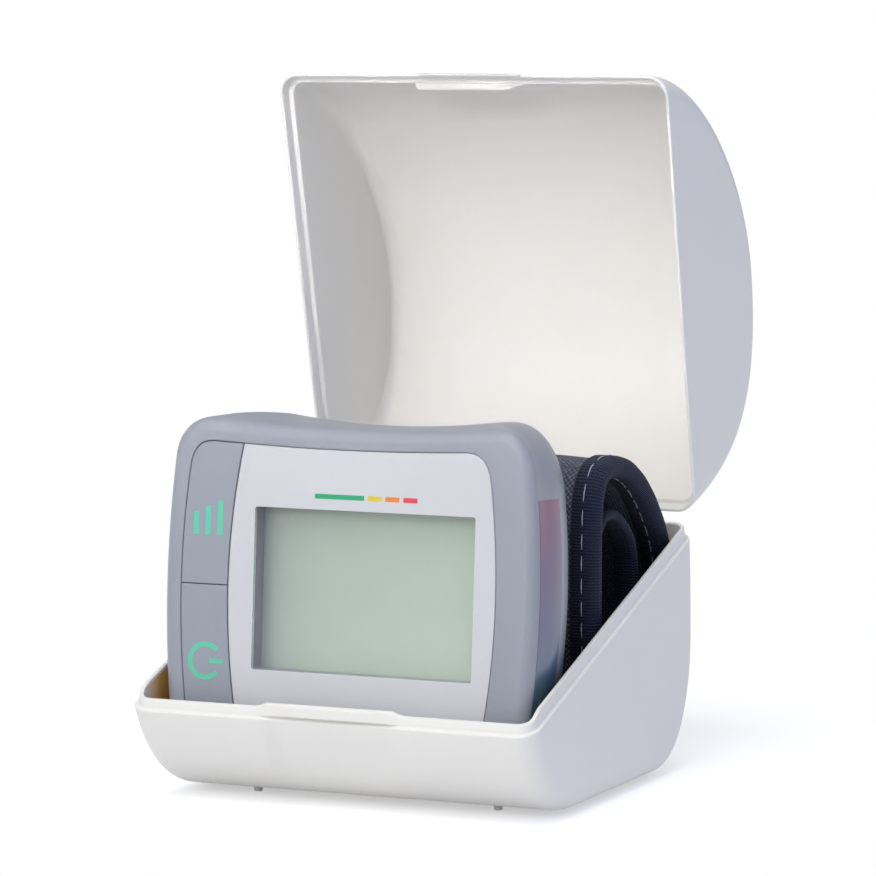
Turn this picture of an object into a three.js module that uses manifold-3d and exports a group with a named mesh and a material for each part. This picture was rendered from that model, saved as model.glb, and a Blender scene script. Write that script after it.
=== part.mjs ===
// Wrist blood pressure monitor standing on its side in an open clamshell storage case.
// Millimetres, +Z up, the front of the case towards -Y. The case is symmetric about X = 0.
import * as THREE from "three";
import { mergeVertices } from "three/addons/utils/BufferGeometryUtils.js";
import Module from "manifold-3d";

const wasm = await Module();
wasm.setup();

// Clearances
const gap = 0.3;
const overrun = 2;

// Case shells: widest at the front, a little narrower at the back
const caseSideRoom = 3.3;
const caseTaper = 0.8;
const caseDepth = 91;
const caseWall = 1.8;
const caseFillet = 4.5;
const frontRimHeight = 18.4;
const backRimHeight = 49.4;
const frontScoopDepth = 26;
const backBulge = 1;
const backRoundDepth = 19;
const backRoundHeight = 31;
const domeHeight = 46;
const domeCrestShare = 0.433;
const domeRearShares = [0.005, 0.62, 0.27, 1];
const domeFrontShares = [0.42, 1, 0.9, 0.51];
const lipHeight = 2.9;
const lipInset = 0.9;
const lipPlay = 0.2;
const footRadius = 0.9;
const footHeight = 1;
const footSpacing = 54.7;
const footInset = 24.1;

// Latch on the front rims
const latchWidth = 32;
const latchRise = 1;
const catchWidth = 17;
const catchDepth = 0.7;
const catchHeight = 1.4;
const thumbWidth = 28;
const thumbDepth = 1;
const thumbHeight = 11;
const lidTabWidth = 24;
const lidTabThickness = 0.7;
const lidTabReach = 1.1;
const lidTabHeight = 3.4;
const lidRibThickness = 0.8;
const lidRibHeight = 2.4;

// Hinge of the lid
const hingeBehindRim = 1.9;
const hingeAboveRim = 2;
const lidOpenAngle = 96.3;
const hingePinRadius = 1.2;
const hingeBarrelRadius = 2.4;
const hingeEarRadius = 2.9;
const hingeEarWidth = 3.5;
const hingeSpan = 44;
const hingeEarDrop = 9;
const hingeArmThickness = 2;

// Monitor, in its own frame: the face is at depth 0 and the wrist runs along X
const monitorFaceBehindRim = 9;
const monitorCentreHeight = 44;
const monitorLean = 4;
const monitorHalfHeight = 34.4;
const monitorDepth = 28.5;
const sideBulge = 1.4;
const endHollow = 1.2;
const monitorCorner = 9;
const cornerArcShare = 0.55;
const sideCrown = 0.8;
const faceRound = 1.8;
const rearRound = 4;
const rearSideStart = 9;
const rearSideInset = 7;
const faceRoundShares = [0.1, 0.35, 1];
const middleShares = [0.25, 0.5, 0.62, 0.74];
const rearRoundShares = [1, 0.6, 0.3, 0.1, 0];
const housingWall = 1.8;
const housingSplit = 23.6;

// Lens panel, button strip and display window in the face
const faceInset = 4.2;
const lensThickness = 1.2;
const lensSideRoom = 8.7;
const lensRightBow = 1.7;
const lensCorner = 5.5;
const stripWidth = 10.8;
const stripEdgeBow = 2.9;
const stripSideRoom = 4.5;
const stripOuterBow = 1.6;
const stripCorner = 5;
const buttonGap = 0.3;
const buttonThickness = 1.6;
const buttonTravel = 0.5;
const windowStripRoom = 5.8;
const windowSideRoom = 4.8;
const windowBottom = -16.8;
const windowTop = 16.4;
const windowMargin = 2;
const paneThickness = 1;

// Display and main board
const displayDepth = 5;
const displayThickness = 2.6;
const displayMargin = 3.5;
const displayLowMargin = 0.9;
const displayFrameWall = 0.8;
const boardDepth = 12.4;
const boardThickness = 1.6;
const boardMargin = 4;
const boardLowEdge = -18.9;
const contactStripThickness = 2;
const switchSize = 6;
const switchHeight = 3.5;
const switchStemRadius = 1.6;
const switchStemHeight = 1.4;
const keyPostRadius = 2;

// Battery bay along the lower side
const cellRadius = 5.25;
const cellLength = 44.5;
const cellSideRoom = 19.55;
const cellNubRadius = 2.2;
const cellNubHeight = 0.9;
const bayWall = 0.9;
const bayEndSpace = 2.2;
const contactThickness = 0.4;
const doorEndRoom = 4.25;
const doorFrontEdge = 5;
const doorRearReach = 7;

// Air system
const motorSideRoom = 8.8;
const motorRadius = 5.3;
const motorLength = 20;
const pumpRadius = 5.6;
const pumpLength = 12;
const valveRadius = 4.3;
const valveLength = 14;
const airAxisHeight = 15.8;
const airAxisDepth = 20.6;
const tubeRadius = 1.5;
const tubeLimbRadius = 1.3;
const tubeTipRadius = 0.75;
const tubeLength = 7.5;
const sensorSize = 8;
const sensorHeight = 3.4;
const buzzerRadius = 5.5;
const buzzerHeight = 3;

// Screws
const screwRadius = 1.1;
const screwHeadRadius = 2.3;
const screwHeadHeight = 1.2;
const screwBossRadius = 3;
const screwSideRoom = 13.4;

// Cuff
const cuffRightInset = 0.8;
const cuffLeftInset = 8.8;
const cuffBindingWidth = 6;
const cuffEdgeHalfThickness = 1.7;
const cuffMidHalfThickness = 3.4;
const cuffClothThickness = 0.9;
const cuffStiffenerThickness = 0.8;
const cuffStiffenerInset = 4;
const cuffTailThickness = 2;
const cuffTailInset = 2.5;
const cuffPadThickness = 1;
const cuffPadInset = 8;
const padPathShares = [0.02, 0.13];
const coreEndShare = 0.03;
const cuffStandOff = 7.8;
const cuffRearRoom = 4.4;
const cuffTop = 67.3;
const cuffBottom = 14;
const bracketThickness = 2.4;
const bracketHalfWidth = 24;
const bracketHalfHeight = 17;
const portRadius = 2;
const portCollarRadius = 3.2;

// Widths that follow the cells, the longest things inside the monitor
const monitorHalfWidth = cellLength / 2 + cellSideRoom;
const caseWidth = (monitorHalfWidth + caseSideRoom) * 2;
const lensRightEdge = monitorHalfWidth - lensSideRoom;
const stripOuterEdge = monitorHalfWidth - stripSideRoom;
const stripEdge = stripOuterEdge - stripWidth;
const windowLeft = windowStripRoom - stripEdge;
const windowRight = lensRightEdge - windowSideRoom;
const doorHalfWidth = cellLength / 2 + doorEndRoom;
const cuffRightEdge = monitorHalfWidth - cuffRightInset;
const cuffLeftEdge = cuffLeftInset - monitorHalfWidth;
const cuffWidth = cuffRightEdge - cuffLeftEdge;

// Depths that follow the monitor and the case
const cuffFront = monitorFaceBehindRim + monitorDepth + cuffStandOff;
const cuffBack = caseDepth - cuffRearRoom;

// Sampling of curves
const curveSteps = 8;
const filletSteps = 4;
const roundSides = 20;
const smallSides = 12;
const bandSteps = 34;
const bandStations = 6;
const tailSteps = 22;

// Finishes
function finish(color, roughness, metalness = 0, extra = {}) {
  return new THREE.MeshStandardMaterial({ color, roughness, metalness, ...extra });
}
const caseWhite = finish(0xe8e8e6, 0.3);
const housingGrey = finish(0xa3a7b2, 0.35);
const lensGrey = finish(0xd0d2d7, 0.2);
const clearPane = finish(0xe6ecec, 0.05, 0, { transparent: true, opacity: 0.35 });
const displayGreen = finish(0xb2c0b6, 0.15);
const blackPlastic = finish(0x2a2b2e, 0.5);
const boardGreen = finish(0x2f6b45, 0.6);
const rubberGrey = finish(0x6d6e72, 0.8);
const steel = finish(0xc4c6c9, 0.3, 1);
const cellGold = finish(0xc9a24a, 0.35, 0.8);
const airRubber = finish(0xd9d6cc, 0.7);
const cuffNavy = finish(0x1e233c, 0.9);
const cuffMesh = finish(0x3c3e44, 0.95);
const stiffenerPlastic = finish(0xdddddd, 0.5);
const bladderFilm = finish(0x55565c, 0.6);

// Solids

// A closed surface, turned to face out, as a solid.
function closedSolid(positions, triangles) {
  const merged = mergeVertices(
    new THREE.BufferGeometry()
      .setAttribute("position", new THREE.Float32BufferAttribute(positions, 3))
      .setIndex(triangles),
    gap / 1000,
  );
  const vertProperties = merged.attributes.position.array;
  const triVerts = new Uint32Array(merged.index.array);
  const corner = (i) => new THREE.Vector3().fromArray(vertProperties, triVerts[i] * 3);
  let volume = 0;
  for (let i = 0; i < triVerts.length; i += 3) {
    volume += corner(i).dot(corner(i + 1).cross(corner(i + 2)));
  }
  if (volume < 0) triVerts.reverse();
  return new wasm.Manifold(new wasm.Mesh({ numProp: 3, vertProperties, triVerts }));
}

function solidOf(geometry) {
  const flat = geometry.index ? geometry.toNonIndexed() : geometry;
  const count = flat.attributes.position.count;
  return closedSolid([...flat.attributes.position.array], [...Array(count).keys()]);
}

function block([x0, x1], [y0, y1], [z0, z1]) {
  const box = new THREE.BoxGeometry(x1 - x0, y1 - y0, z1 - z0);
  return solidOf(box.translate((x0 + x1) / 2, (y0 + y1) / 2, (z0 + z1) / 2));
}

// A round bar along an axis, from one coordinate to another, centred on the other two.
function rod(axis, radius, centre, from, to, sides = smallSides) {
  const bar = new THREE.CylinderGeometry(radius, radius, Math.abs(to - from), sides);
  bar.translate(0, (from + to) / 2, 0);
  if (axis === "x") bar.rotateZ(-Math.PI / 2).translate(0, centre[0], centre[1]);
  if (axis === "y") bar.translate(centre[0], 0, centre[1]);
  if (axis === "z") bar.rotateX(Math.PI / 2).translate(centre[0], centre[1], 0);
  return solidOf(bar);
}

const placed = {
  x: (at, point) => new THREE.Vector3(at, point.x, point.y),
  y: (at, point) => new THREE.Vector3(point.x, at, point.y),
  z: (at, point) => new THREE.Vector3(point.x, point.y, at),
};

// Sections with as many points each, joined along an axis and closed at both ends.
function loft(axis, sections, moved = (point) => point) {
  const count = sections[0].points.length;
  const positions = [];
  for (const { at, points } of sections) {
    for (const point of points) positions.push(...moved(placed[axis](at, point)).toArray());
  }
  const triangles = [];
  for (let ring = 0; ring + 1 < sections.length; ring++) {
    for (let i = 0; i < count; i++) {
      const a = ring * count + i;
      const b = ring * count + ((i + 1) % count);
      triangles.push(a, b, b + count, a, b + count, a + count);
    }
  }
  const last = (sections.length - 1) * count;
  const ends = [sections[0].points, sections[sections.length - 1].points];
  const [firstCap, lastCap] = ends.map((points) => THREE.ShapeUtils.triangulateShape(points, []));
  const turned = THREE.ShapeUtils.area(ends[0]) < 0;
  for (const [a, b, c] of firstCap) triangles.push(...(turned ? [a, b, c] : [a, c, b]));
  for (const [a, b, c] of lastCap) {
    triangles.push(...(turned ? [a, c, b] : [a, b, c]).map((i) => i + last));
  }
  return closedSolid(positions, triangles);
}

function prism(axis, points, from, to) {
  return loft(axis, [
    { at: from, points },
    { at: to, points },
  ]);
}

// A closed outline moved inwards by a distance, corner by corner.
function inset(points, distance) {
  const sign = Math.sign(THREE.ShapeUtils.area(points));
  return points.map((point, i) => {
    const before = points[(i + points.length - 1) % points.length];
    const after = points[(i + 1) % points.length];
    const inward = point.clone().sub(before).normalize();
    const onward = after.clone().sub(point).normalize();
    const along = inward.clone().add(onward).normalize();
    const reach = (sign * distance) / along.dot(inward);
    return new THREE.Vector2(point.x - along.y * reach, point.y + along.x * reach);
  });
}

function outlineOf(path, steps) {
  const points = path.getPoints(steps);
  if (points[0].distanceTo(points[points.length - 1]) < gap) points.pop();
  return points;
}

const group = new THREE.Group();

// A solid as a named mesh, added to the group that carries it.
function piece(name, solid, material, carrier) {
  const { numProp, vertProperties, triVerts } = solid.getMesh();
  const geometry = new THREE.BufferGeometry();
  const positions = new Float32Array((vertProperties.length / numProp) * 3);
  for (let i = 0; i < positions.length / 3; i++) {
    positions.set(vertProperties.subarray(i * numProp, i * numProp + 3), i * 3);
  }
  geometry.setAttribute("position", new THREE.BufferAttribute(positions, 3));
  geometry.setIndex(new THREE.BufferAttribute(triVerts, 1));
  geometry.computeVertexNormals();
  const mesh = new THREE.Mesh(geometry, material);
  mesh.name = name;
  carrier.add(mesh);
  return mesh;
}

// Case

const rimRise = backRimHeight - frontRimHeight;
const rimLength = Math.hypot(caseDepth, rimRise);
const rimAlong = new THREE.Vector2(caseDepth, rimRise).normalize();
const rimOut = new THREE.Vector2(-rimAlong.y, rimAlong.x);
const backRim = new THREE.Vector2(caseDepth, backRimHeight);
const frontRim = new THREE.Vector2(0, frontRimHeight);

// A point by its distance forward along the rims and its height out of their plane.
function fromRim(forward, out) {
  return backRim.clone().addScaledVector(rimAlong, -forward).addScaledVector(rimOut, out);
}

function domePoint(forwardShare, heightShare) {
  return fromRim(rimLength * forwardShare, domeHeight * heightShare);
}

// Side outline of the closed case in depth and height.
function caseOutline() {
  const backMost = caseDepth + backBulge;
  const path = new THREE.Path();
  path.absellipse(
    frontScoopDepth,
    frontRimHeight,
    frontScoopDepth,
    frontRimHeight,
    Math.PI,
    Math.PI * 1.5,
  );
  path.lineTo(backMost - backRoundDepth, 0);
  path.absellipse(
    backMost - backRoundDepth,
    backRoundHeight,
    backRoundDepth,
    backRoundHeight,
    -Math.PI / 2,
    0,
  );
  const upperBack = (backRoundHeight + backRimHeight) / 2;
  path.quadraticCurveTo(backMost, upperBack, backRim.x, backRim.y);
  const crest = domePoint(domeCrestShare, 1);
  const rearLow = domePoint(domeRearShares[0], domeRearShares[1]);
  const rearHigh = domePoint(domeCrestShare * domeRearShares[2], domeRearShares[3]);
  path.bezierCurveTo(rearLow.x, rearLow.y, rearHigh.x, rearHigh.y, crest.x, crest.y);
  const frontShare = 1 - domeCrestShare;
  const frontHigh = domePoint(domeCrestShare + frontShare * domeFrontShares[0], domeFrontShares[1]);
  const frontLow = domePoint(domeCrestShare + frontShare * domeFrontShares[2], domeFrontShares[3]);
  path.bezierCurveTo(frontHigh.x, frontHigh.y, frontLow.x, frontLow.y, frontRim.x, frontRim.y);
  return outlineOf(path, curveSteps);
}

const sideOutline = caseOutline();

// The closed case, inside a given distance from its outer surface, with rounded side edges.
function caseBody(distance) {
  const halfWidth = caseWidth / 2 - distance;
  const fillet = caseFillet - distance;
  const sections = [];
  for (const side of [-1, 1]) {
    for (let step = 0; step <= filletSteps; step++) {
      const turn = ((side < 0 ? filletSteps - step : step) / filletSteps) * (Math.PI / 2);
      sections.push({
        at: side * (halfWidth - fillet + fillet * Math.sin(turn)),
        points: inset(sideOutline, distance + fillet * (1 - Math.cos(turn))),
      });
    }
  }
  const narrowing = caseTaper / (caseWidth / 2) / caseDepth;
  return loft("x", sections, (point) => point.setX(point.x * (1 - narrowing * point.y)));
}

// Everything under a plane parallel to the rims.
function underRim(height) {
  const far = caseDepth + domeHeight;
  const corners = [fromRim(-far, height), fromRim(-far, -far), fromRim(far * 2, -far)];
  corners.push(fromRim(far * 2, height));
  return prism("x", corners, -caseWidth, caseWidth);
}

const hingeAxis = new THREE.Vector2(caseDepth + hingeBehindRim, backRimHeight + hingeAboveRim);
const earRoot = new THREE.Vector2(caseDepth - caseWall / 2, hingeAxis.y - hingeEarDrop);

// A straight arm with a round end about the hinge axis, in depth and height.
function hingeArm(radius, root, width, from, to) {
  const eye = rod("x", radius, [hingeAxis.x, hingeAxis.y], from, to, roundSides);
  const reach = root.clone().sub(hingeAxis);
  const across = new THREE.Vector2(-reach.y, reach.x).normalize().multiplyScalar(width / 2);
  const corners = [
    hingeAxis.clone().add(across),
    hingeAxis.clone().sub(across),
    root.clone().sub(across),
    root.clone().add(across),
  ];
  return eye.add(prism("x", corners, from, to));
}

function latchBand(width, distance, low, high) {
  const band = caseBody(distance).intersect(underRim(high)).subtract(underRim(low));
  const half = width / 2;
  const front = block([-half, half], [-caseDepth, caseDepth / 2], [-caseDepth, caseDepth]);
  return band.intersect(front);
}

function caseBaseSolid() {
  const cavity = caseBody(caseWall);
  let base = caseBody(0).intersect(underRim(0));
  base = base.add(caseBody(lipInset).intersect(underRim(lipHeight)));
  base = base.add(latchBand(latchWidth, lipInset, -lipHeight, lipHeight + latchRise));
  const catchTop = lipHeight - (lipHeight - catchHeight) / 2;
  base = base.add(latchBand(catchWidth, lipInset - catchDepth, catchTop - catchHeight, catchTop));
  base = base.subtract(cavity);
  const thumbRadius = (thumbWidth * thumbWidth) / (8 * thumbDepth) + thumbDepth / 2;
  const thumbCentre = thumbDepth - thumbRadius;
  const thumb = rod("z", thumbRadius, [0, thumbCentre], 0, thumbHeight, roundSides * 8);
  const thumbLow = frontRimHeight - lipHeight / 2 - thumbHeight;
  base = base.subtract(thumb.translate([0, 0, thumbLow]));
  for (const side of [-1, 1]) {
    for (const depth of [footInset, caseDepth - footInset]) {
      const foot = rod("z", footRadius, [(side * footSpacing) / 2, depth], -footHeight, caseWall / 2);
      base = base.add(foot);
    }
    const outer = (side * hingeSpan) / 2;
    const inner = side * (hingeSpan / 2 - hingeEarWidth);
    const ear = hingeArm(hingeEarRadius, earRoot, hingeEarRadius * 2, inner, outer);
    base = base.add(ear.subtract(cavity));
    const bore = hingePinRadius + gap / 2;
    const pinEnd = outer + side * overrun;
    base = base.subtract(
      rod("x", bore, [hingeAxis.x, hingeAxis.y], inner - side * overrun, pinEnd, roundSides),
    );
  }
  return base;
}

// The lid as it lies when the case is closed.
function closedLidSolid() {
  const cavity = caseBody(caseWall);
  const rebate = caseBody(lipInset - lipPlay).intersect(underRim(lipHeight + gap));
  let lid = caseBody(0).subtract(underRim(gap)).subtract(cavity);
  const latchSlot = latchBand(
    latchWidth + gap * 2,
    lipInset - lipPlay,
    -lipHeight,
    lipHeight + latchRise + gap,
  );
  const catchTop = lipHeight - (lipHeight - catchHeight) / 2;
  const catchSlot = latchBand(
    catchWidth + gap * 2,
    lipInset - catchDepth - lipPlay,
    catchTop - catchHeight - gap,
    catchTop + gap,
  );
  lid = lid.subtract(rebate).subtract(latchSlot);
  const half = lidTabWidth / 2;
  const tabBody = caseBody(-lidTabThickness).intersect(underRim(lidTabHeight));
  const tabCore = caseBody(gap / 2).add(underRim(-lidTabReach));
  const tabZone = block([-half, half], [-caseDepth, caseDepth / 2], [-caseDepth, caseDepth]);
  const tabRoot = caseBody(0).intersect(underRim(lidTabHeight)).subtract(underRim(gap));
  const tabPlay = caseBody(-gap).intersect(underRim(gap));
  const tab = tabBody.subtract(tabCore).subtract(tabPlay).intersect(tabZone);
  lid = lid.add(tab.add(tabRoot.subtract(caseBody(gap)).intersect(tabZone)));
  const ribLow = lipHeight + latchRise + gap;
  const rib = latchBand(lidTabWidth, caseWall - gap, ribLow, ribLow + lidRibHeight);
  lid = lid.add(rib.subtract(caseBody(caseWall + lidRibThickness)));
  lid = lid.subtract(catchSlot);
  for (const side of [-1, 1]) {
    const outer = side * (hingeSpan / 2 + gap);
    const inner = side * (hingeSpan / 2 - hingeEarWidth - gap);
    lid = lid.subtract(hingeArm(hingeEarRadius + gap, earRoot, (hingeEarRadius + gap) * 2, inner, outer));
  }
  const barrelHalf = hingeSpan / 2 - hingeEarWidth - gap;
  const root = fromRim(caseWall / 2, lipHeight + hingeArmThickness);
  const arm = hingeArm(hingeBarrelRadius, root, hingeArmThickness, -barrelHalf, barrelHalf);
  lid = lid.add(arm.subtract(cavity).subtract(rebate));
  const pinHalf = hingeSpan / 2 - gap;
  const axle = [hingeAxis.x, hingeAxis.y];
  return lid.add(rod("x", hingePinRadius, axle, -pinHalf, pinHalf, roundSides));
}

const caseGroup = new THREE.Group();
group.add(caseGroup);
piece("case_base", caseBaseSolid(), caseWhite, caseGroup);

const lidGroup = new THREE.Group();
lidGroup.position.set(0, hingeAxis.x, hingeAxis.y);
lidGroup.rotation.x = THREE.MathUtils.degToRad(-lidOpenAngle);
caseGroup.add(lidGroup);
const lidSolid = closedLidSolid().translate([0, -hingeAxis.x, -hingeAxis.y]);
piece("case_lid", lidSolid, caseWhite, lidGroup);

// Monitor housings

const monitorGroup = new THREE.Group();
monitorGroup.position.set(0, monitorFaceBehindRim, monitorCentreHeight);
monitorGroup.rotation.x = THREE.MathUtils.degToRad(-monitorLean);
group.add(monitorGroup);

// Outline of the monitor at its widest: bowed sides, hollow ends and round corners.
function monitorOutline() {
  const bend = cornerArcShare * monitorCorner;
  const sideX = monitorHalfWidth - sideBulge;
  const sideZ = monitorHalfHeight - monitorCorner;
  const endX = sideX - monitorCorner;
  const sideTurn = new THREE.Vector2(-sideBulge * 2, sideZ).normalize().multiplyScalar(bend);
  const endTurn = new THREE.Vector2(endX, endHollow * 2).normalize().multiplyScalar(bend);
  const path = new THREE.Path();
  path.moveTo(sideX, -sideZ);
  for (const turn of [1, -1]) {
    path.quadraticCurveTo(turn * (sideX + sideBulge * 2), 0, turn * sideX, turn * sideZ);
    path.bezierCurveTo(
      turn * (sideX + sideTurn.x),
      turn * (sideZ + sideTurn.y),
      turn * (endX + endTurn.x),
      turn * (monitorHalfHeight + endTurn.y),
      turn * endX,
      turn * monitorHalfHeight,
    );
    const endMiddle = turn * (monitorHalfHeight - endHollow * 2);
    path.quadraticCurveTo(0, endMiddle, -turn * endX, turn * monitorHalfHeight);
    path.bezierCurveTo(
      -turn * (endX + endTurn.x),
      turn * (monitorHalfHeight + endTurn.y),
      -turn * (sideX + sideTurn.x),
      turn * (sideZ + sideTurn.y),
      -turn * sideX,
      turn * sideZ,
    );
  }
  return outlineOf(path, curveSteps - 2);
}

const monitorSide = monitorOutline();

// How far the housing's surface lies inside its widest outline at a depth from the face.
function housingInset(depth) {
  const middle = monitorDepth / 2;
  const crown = sideCrown * ((depth - middle) / middle) ** 2;
  const frontLeft = Math.max(0, faceRound - depth);
  const front = faceRound - Math.sqrt(faceRound ** 2 - frontLeft ** 2);
  const rearLeft = Math.max(0, depth - (monitorDepth - rearRound));
  const rear = rearRound - Math.sqrt(Math.max(0, rearRound ** 2 - rearLeft ** 2));
  return crown + front + rear;
}

// How much narrower the housing is at a depth, where its sides round off towards the back.
function sideShare(depth) {
  const along = Math.max(0, depth - rearSideStart) / (monitorDepth - rearSideStart);
  const inward = rearSideInset * (1 - Math.sqrt(1 - along ** 2));
  return 1 - inward / monitorHalfWidth;
}

// The monitor's body inside a given distance from its surface, between two depths.
function monitorBody(distance, from, to) {
  const roundDepths = faceRoundShares.map((share) => share * faceRound);
  const rearDepths = rearRoundShares.map((share) => monitorDepth - share * rearRound);
  const middle = middleShares.map((share) => share * monitorDepth);
  const wanted = [0, ...roundDepths, ...middle, ...rearDepths];
  const inside = wanted.filter((depth) => depth > from && depth < to);
  return loft(
    "y",
    [from, ...inside, to].map((at) => {
      const depth = Math.min(at, monitorDepth);
      const points = inset(monitorSide, distance + housingInset(depth));
      return { at, points: points.map((point) => point.setX(point.x * sideShare(depth))) };
    }),
  );
}

// Outline of the lens panel between the button strip and its bowed right edge.
function lensOutline() {
  const halfHeight = monitorHalfHeight - sideCrown - faceInset;
  const path = new THREE.Path();
  const rightX = lensRightEdge - lensRightBow;
  const rightZ = halfHeight - lensCorner;
  const leftX = -stripEdge + stripEdgeBow;
  path.moveTo(rightX, -rightZ);
  path.quadraticCurveTo(lensRightEdge + lensRightBow, 0, rightX, rightZ);
  path.quadraticCurveTo(rightX - lensRightBow / 2, halfHeight, rightX - lensCorner, halfHeight);
  path.quadraticCurveTo(0, halfHeight - endHollow, leftX, halfHeight);
  path.quadraticCurveTo(-stripEdge - stripEdgeBow, 0, leftX, -halfHeight);
  path.quadraticCurveTo(0, -halfHeight + endHollow, rightX - lensCorner, -halfHeight);
  path.quadraticCurveTo(rightX - lensRightBow / 2, -halfHeight, rightX, -rightZ);
  return outlineOf(path, curveSteps);
}

// Outline of the whole button strip to the left of the lens.
function stripOutline() {
  const halfHeight = monitorHalfHeight - sideCrown - faceInset;
  const path = new THREE.Path();
  const innerX = -stripEdge + stripEdgeBow;
  const outerX = -stripOuterEdge + stripOuterBow;
  const outerZ = halfHeight - stripCorner;
  path.moveTo(innerX, -halfHeight);
  path.quadraticCurveTo(-stripEdge - stripEdgeBow, 0, innerX, halfHeight);
  path.lineTo(outerX + stripCorner, halfHeight + endHollow / 4);
  path.quadraticCurveTo(outerX + stripOuterBow / 2, halfHeight, outerX, outerZ);
  path.quadraticCurveTo(-stripOuterEdge - stripOuterBow, 0, outerX, -outerZ);
  path.quadraticCurveTo(outerX + stripOuterBow / 2, -halfHeight, outerX + stripCorner, -halfHeight);
  return outlineOf(path, curveSteps);
}

const lensSide = lensOutline();
const stripSide = stripOutline();
const windowX = [windowLeft, windowRight];
const windowZ = [windowBottom, windowTop];
const grown = ([low, high], margin) => [low - margin, high + margin];

// One screw near each round corner.
const screwX = monitorHalfWidth - screwSideRoom;
const screwZ = monitorHalfHeight - monitorCorner;
const screwPlaces = [
  [-screwX, -screwZ],
  [screwX, -screwZ],
  [-screwX, screwZ],
  [screwX, screwZ],
];

const keyX = -(stripEdge + stripOuterEdge) / 2;
const keyZ = (monitorHalfHeight - sideCrown - faceInset) / 2;
const switchTop = boardDepth - gap - switchHeight - switchStemHeight;

const doorX = [-doorHalfWidth, doorHalfWidth];
const doorLow = -monitorHalfHeight - overrun;
const doorHigh = -monitorHalfHeight + doorRearReach;

function doorZone(clearance) {
  return block(
    grown(doorX, clearance),
    [doorFrontEdge - clearance, monitorDepth + overrun],
    [doorLow, doorHigh + clearance],
  );
}

const paneDepth = lensThickness + gap;
const seatDepth = paneDepth + paneThickness + gap;

function frontHousingSolid() {
  const cavityFront = seatDepth + housingWall / 2;
  let shell = monitorBody(0, 0, housingSplit);
  shell = shell.subtract(monitorBody(housingWall, cavityFront, housingSplit + overrun));
  const lensSeat = inset(lensSide, -gap / 2);
  shell = shell.subtract(prism("y", lensSeat, -overrun, lensThickness + gap));
  const paneX = grown(windowX, windowMargin + gap);
  const paneZ = grown(windowZ, windowMargin + gap);
  shell = shell.subtract(block(paneX, [0, seatDepth], paneZ));
  shell = shell.subtract(block(windowX, [0, cavityFront + overrun], windowZ));
  const keySeat = buttonThickness + buttonTravel + gap;
  shell = shell.subtract(prism("y", stripSide, -overrun, keySeat));
  for (const side of [-1, 1]) {
    const postHole = rod("y", keyPostRadius + gap, [keyX, side * keyZ], 0, cavityFront + overrun);
    shell = shell.subtract(postHole);
  }
  for (const place of screwPlaces) {
    const boss = rod("y", screwBossRadius, place, cavityFront - gap, housingSplit);
    const pilot = rod("y", screwRadius + gap, place, boardDepth + boardThickness, monitorDepth);
    shell = shell.add(boss).subtract(pilot);
  }
  return shell.subtract(doorZone(gap));
}

function rearHousingSolid() {
  const start = housingSplit + gap;
  const body = monitorBody(0, start, monitorDepth);
  let shell = body;
  shell = shell.subtract(monitorBody(housingWall, start - overrun, monitorDepth - housingWall));
  const shelf = block(
    [-doorHalfWidth, doorHalfWidth],
    [bayFront, monitorDepth - housingWall / 2],
    [bayRoof, bayRoof + bayWall],
  );
  shell = shell.add(shelf);
  for (const place of screwPlaces) {
    const boss = rod("y", screwBossRadius, place, start, monitorDepth - housingWall / 2);
    const headSeat = monitorDepth - housingWall - screwHeadHeight;
    shell = shell.add(boss.intersect(body));
    shell = shell.subtract(rod("y", screwRadius + gap, place, start - overrun, monitorDepth + overrun));
    shell = shell.subtract(rod("y", screwHeadRadius + gap, place, headSeat, monitorDepth + overrun));
  }
  const portHole = rod("y", portRadius + gap, [cuffCentre, 0], start, monitorDepth + overrun);
  return shell.subtract(portHole).subtract(doorZone(gap));
}

// Battery bay: two cells side by side along the lower side.
const bayRoof = -monitorHalfHeight + sideCrown + housingWall + cellRadius * 2 + gap * 4;
const bayFront = seatDepth + housingWall;
const cellHeight = bayRoof - gap - cellRadius;
const cellDepths = [bayFront + cellRadius + gap, bayFront + cellRadius * 3 + gap * 2];

const cuffCentre = cuffRightEdge - cuffWidth / 2;

piece("front_housing", frontHousingSolid(), housingGrey, monitorGroup);
piece("rear_housing", rearHousingSolid(), housingGrey, monitorGroup);

function batteryDoorSolid() {
  const zone = doorZone(0);
  const skin = monitorBody(0, doorFrontEdge, monitorDepth);
  const hollow = monitorBody(housingWall, doorFrontEdge - overrun, monitorDepth - housingWall);
  return skin.subtract(hollow).intersect(zone);
}
piece("battery_door", batteryDoorSolid(), housingGrey, monitorGroup);

// Face: lens panel, window pane and keys

const lensPanel = prism("y", inset(lensSide, gap / 2), 0, lensThickness);
const lensWindow = block(windowX, [-overrun, lensThickness + overrun], windowZ);
piece("lens_panel", lensPanel.subtract(lensWindow), lensGrey, monitorGroup);

const paneSpan = [paneDepth, paneDepth + paneThickness];
const pane = block(grown(windowX, windowMargin), paneSpan, grown(windowZ, windowMargin));
piece("display_window", pane, clearPane, monitorGroup);

function buttonSolid(side) {
  const far = monitorHalfHeight;
  const half = block([-monitorHalfWidth, 0], [0, buttonThickness], [buttonGap / 2, far]);
  const zone = side > 0 ? half : half.mirror([0, 0, 1]);
  const cap = prism("y", inset(stripSide, buttonGap + gap / 2), 0, buttonThickness);
  const postEnd = switchTop - gap - buttonTravel;
  const post = rod("y", keyPostRadius, [keyX, side * keyZ], buttonThickness / 2, postEnd);
  return cap.intersect(zone).add(post);
}
piece("memory_button", buttonSolid(1), housingGrey, monitorGroup);
piece("power_button", buttonSolid(-1), housingGrey, monitorGroup);

// Display and board

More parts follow.
